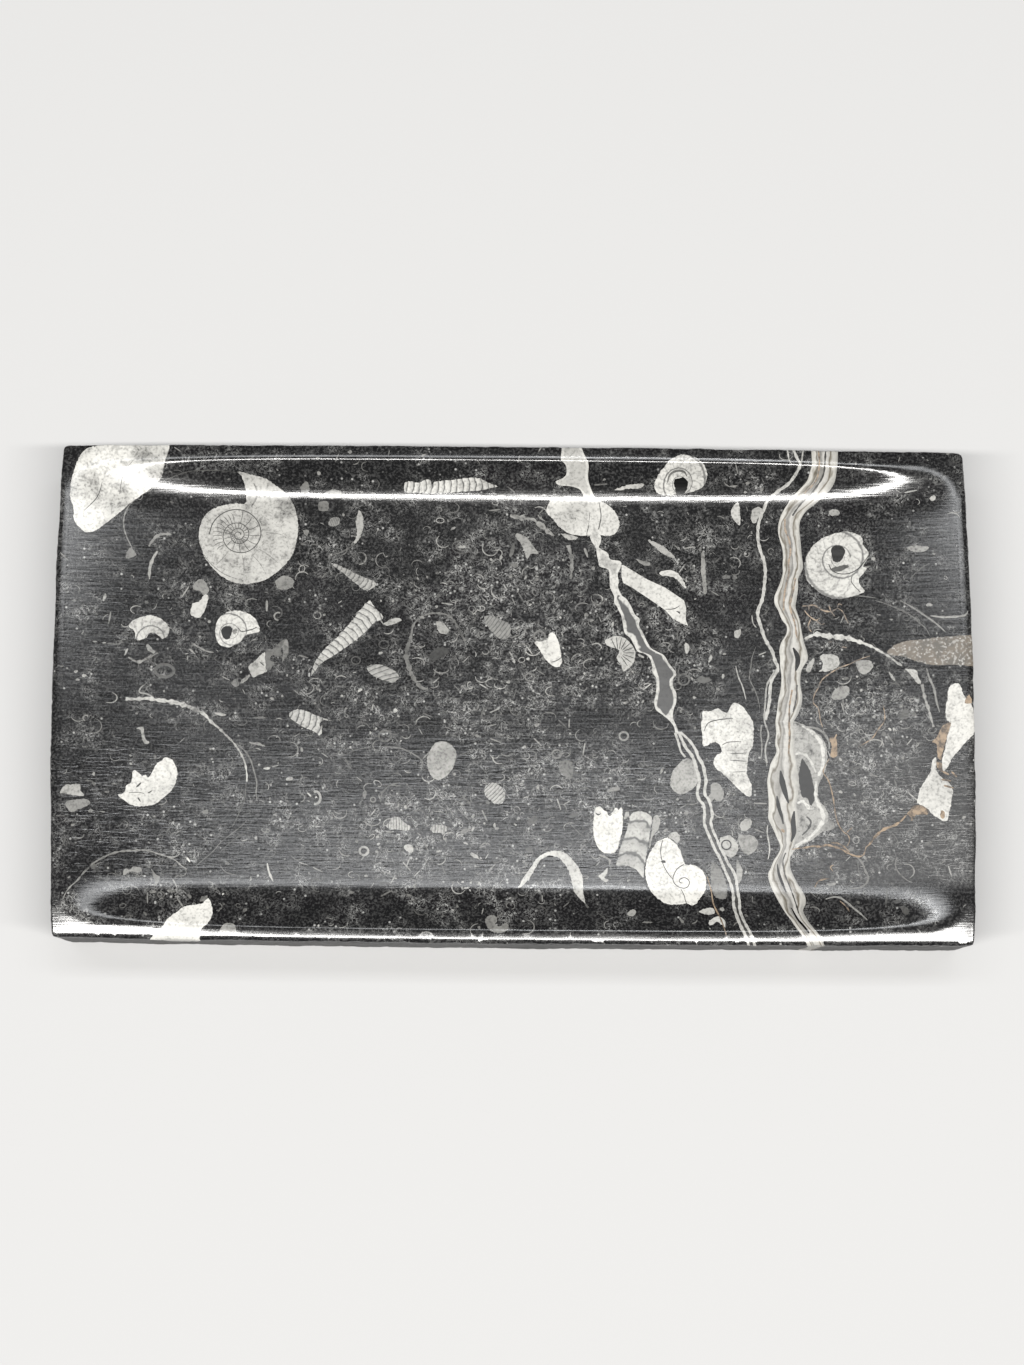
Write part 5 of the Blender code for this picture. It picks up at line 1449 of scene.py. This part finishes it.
finishFacts = {
    "limestone": {"dark": (0.006, 0.006, 0.0065, 1), "grey": (0.085, 0.085, 0.084, 1),
                  "light": (0.33, 0.33, 0.32, 1), "roughness": 0.13, "scratch": 1.0, "relief": 0.000014},
    "sawnStone": {"dark": (0.010, 0.010, 0.0105, 1), "grey": (0.060, 0.060, 0.059, 1),
                  "light": (0.16, 0.16, 0.155, 1), "roughness": 0.55, "scratch": 0.4, "relief": 0.00010},
    "calcite": {"roughness": 0.20, "scratch": 0.7, "relief": 0.000006},
    "vein": {"roughness": 0.20, "scratch": 0.7, "relief": 0.000006, "grey": (0.045, 0.045, 0.046, 1)},
    "rust": {"roughness": 0.42, "scratch": 0.5, "relief": 0.00001, "tan": (0.29, 0.215, 0.145, 1),
             "deep": (0.055, 0.043, 0.034, 1)},
}

# Bands across the wide vein: place across, red, green, blue
veinBands = (
    (0.0, 0.50, 0.49, 0.46), (0.10, 0.62, 0.61, 0.58), (0.19, 0.17, 0.155, 0.13), (0.27, 0.42, 0.41, 0.39),
    (0.42, 0.25, 0.245, 0.235), (0.52, 0.56, 0.55, 0.53), (0.66, 0.50, 0.49, 0.47), (0.74, 0.16, 0.14, 0.11),
    (0.84, 0.56, 0.55, 0.52), (1.0, 0.36, 0.355, 0.34),
)

mattSides = 0.52  # roughness of the sides and the underside, marks too


def startFinish(name, facts):
    # A material with the polish in place
    material = bpy.data.materials.new(name)
    material.use_nodes = True
    tree = material.node_tree
    shader = tree.nodes["Principled BSDF"]
    shader.inputs["IOR"].default_value = 1.55
    polish = addGroup(tree, "brushedPolish", {"Base Roughness": facts["roughness"],
                                              "Scratch Depth": facts["scratch"]})
    matt = times(calc("LESS_THAN", meshFact(tree, "rise"), 0.97), mattSides)
    tree.links.new(most(polish.outputs["Roughness"], matt), shader.inputs["Roughness"])
    return material, tree, shader, polish


def addRelief(tree, shader, height, distance):
    bump = addNode(tree, "ShaderNodeBump", {"Height": height, "Distance": distance, "Strength": 1.0})
    tree.links.new(bump.outputs[0], shader.inputs["Normal"])


def stoneFinish(name, facts):
    material, tree, shader, polish = startFinish(name, facts)
    dust = addGroup(tree, "shellDust", {"Crowding": meshFact(tree, "crowding")})
    ground = mixColours(dust.outputs["Grain"], facts["dark"], facts["grey"])
    tree.links.new(mixColours(dust.outputs["Threads"], ground, facts["light"]), shader.inputs["Base Color"])
    addRelief(tree, shader, polish.outputs["Height"], facts["relief"])
    return material


def addGrain(tree):
    # Calcite in the tone and mottle of each mark
    mark = addNode(tree, "ShaderNodeSeparateColor", {0: meshFact(tree, "mark", "Color")}).outputs
    return addGroup(tree, "calciteGrain", {"Tone": mark[0], "Mottle": mark[1]}).outputs


def calciteFinish(name, facts, pattern=None):
    material, tree, shader, polish = startFinish(name, facts)
    grain = addGrain(tree)
    colour = grain["Color"]
    if pattern == "coil":
        lines = addGroup(tree, "coilLines").outputs
        colour = mixColours(times(lines["Wall"], 0.38), colour, (0.10, 0.10, 0.10, 1))
        colour = mixColours(times(lines["Whorl"], 0.72), colour, (0.05, 0.05, 0.05, 1))
    if pattern == "segments":
        place = patternPlace(tree)
        split = parts(place)
        bowed = plus(split[0], times(times(split[1], split[1]), 0.38))
        sway = noise(place, 1.3, 2.0)
        bowed = plus(bowed, times(sway, 0.7))
        part = calc("FRACT", bowed)
        edge = least(part, minus(1.0, part))
        line = ease(edge, 0.03, 0.15, 0.8, 0.0)
        colour = mixColours(times(ease(part, 0.35, 0.95), 0.45), colour, (0.16, 0.16, 0.155, 1))
        colour = mixColours(line, colour, (0.03, 0.03, 0.03, 1))
    cover = plus(meshFact(tree, "mark", "Alpha"), times(grain["Height"], 0.3))
    colour = mixColours(ease(cover, 0.10, 0.18), (0.018, 0.018, 0.018, 1), colour)
    tree.links.new(colour, shader.inputs["Base Color"])
    addRelief(tree, shader, plus(polish.outputs["Height"], grain["Height"]), facts["relief"])
    return material


def bandedFinish(name, facts):
    material, tree, shader, polish = startFinish(name, facts)
    place = patternPlace(tree)
    split = parts(place)
    sway = noise(stretched(place, (3.0, 2.6, 1.0)), 1.0, 2.0)
    across = plus(split[0], times(minus(sway, 0.5), 0.55))
    ramp = addNode(tree, "ShaderNodeValToRGB", {0: across})
    stops = ramp.color_ramp.elements
    while len(stops) < len(veinBands):
        stops.new(0.5)
    for stop, (at, *colour) in zip(stops, veinBands):
        stop.position = at
        stop.color = (*colour, 1)
    mixed = addNode(tree, "ShaderNodeMix", {0: 0.5, 6: ramp.outputs[0], 7: addGrain(tree)["Color"]},
                    data_type="RGBA", blend_type="MULTIPLY").outputs[2]
    bright = addNode(tree, "ShaderNodeBrightContrast", {"Color": mixed, "Bright": 0.04, "Contrast": 0.15})
    tree.links.new(bright.outputs[0], shader.inputs["Base Color"])
    addRelief(tree, shader, polish.outputs["Height"], facts["relief"])
    return material


def borderedFinish(name, facts):
    material, tree, shader, polish = startFinish(name, facts)
    split = parts(patternPlace(tree))
    wobble = noise(objectPlace(tree), 700.0, 2.0)
    depth = plus(split[0], times(minus(wobble, 0.5), 0.5))
    core = ease(depth, 0.42, 0.62)
    low = ease(split[1], 2.5, 1.8, 0.25, 0.92)
    colour = mixColours(times(core, low), addGrain(tree)["Color"], facts["grey"])
    tree.links.new(colour, shader.inputs["Base Color"])
    addRelief(tree, shader, polish.outputs["Height"], facts["relief"])
    return material


def rustFinish(name, facts, sandy=False):
    material, tree, shader, polish = startFinish(name, facts)
    here = objectPlace(tree)
    cloud = noise(here, 300.0 if sandy else 800.0, 4.0, 0.7)
    colour = mixColours(ease(cloud, 0.36, 0.62), facts["deep"], facts["tan"])
    if sandy:
        cells = cellsAt(here, 1300.0)["Distance"]
        colour = mixColours(0.78, colour, (0.086, 0.080, 0.068, 1))
        dusted = noise(here, 1900.0, 1.0)
        colour = mixColours(ease(dusted, 0.50, 0.70, 0.0, 0.8), colour, (0.33, 0.32, 0.30, 1))
        colour = mixColours(ease(cells, 0.10, 0.22, 0.7, 0.0), colour, (0.55, 0.54, 0.51, 1))
    tree.links.new(colour, shader.inputs["Base Color"])
    addRelief(tree, shader, plus(polish.outputs["Height"], cloud), facts["relief"])
    return material


materials = {
    "limestone": stoneFinish("black_limestone", finishFacts["limestone"]),
    "calcite": calciteFinish("white_calcite", finishFacts["calcite"]),
    "coilShell": calciteFinish("coiled_shell", finishFacts["calcite"], "coil"),
    "segmentedShell": calciteFinish("segmented_shell", finishFacts["calcite"], "segments"),
    "vein": bandedFinish("banded_vein", finishFacts["vein"]),
    "borderedVein": borderedFinish("bordered_vein", finishFacts["vein"]),
    "ironStain": rustFinish("iron_stain", finishFacts["rust"]),
    "sandLens": rustFinish("sand_lens", finishFacts["rust"], sandy=True),
    "sawnStone": stoneFinish("sawn_limestone", finishFacts["sawnStone"]),
}

stone = buildStone()
for finish in finishes:
    stone.data.materials.append(materials[finish])
applyTree(stone, formTree(), {**{words(name): value for name, value in slab.items()},
                              "Sawn Finish": materials["sawnStone"]})
stone.data.set_sharp_from_angle(angle=math.radians(38))
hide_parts("stone_tray")
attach(stone, "root")
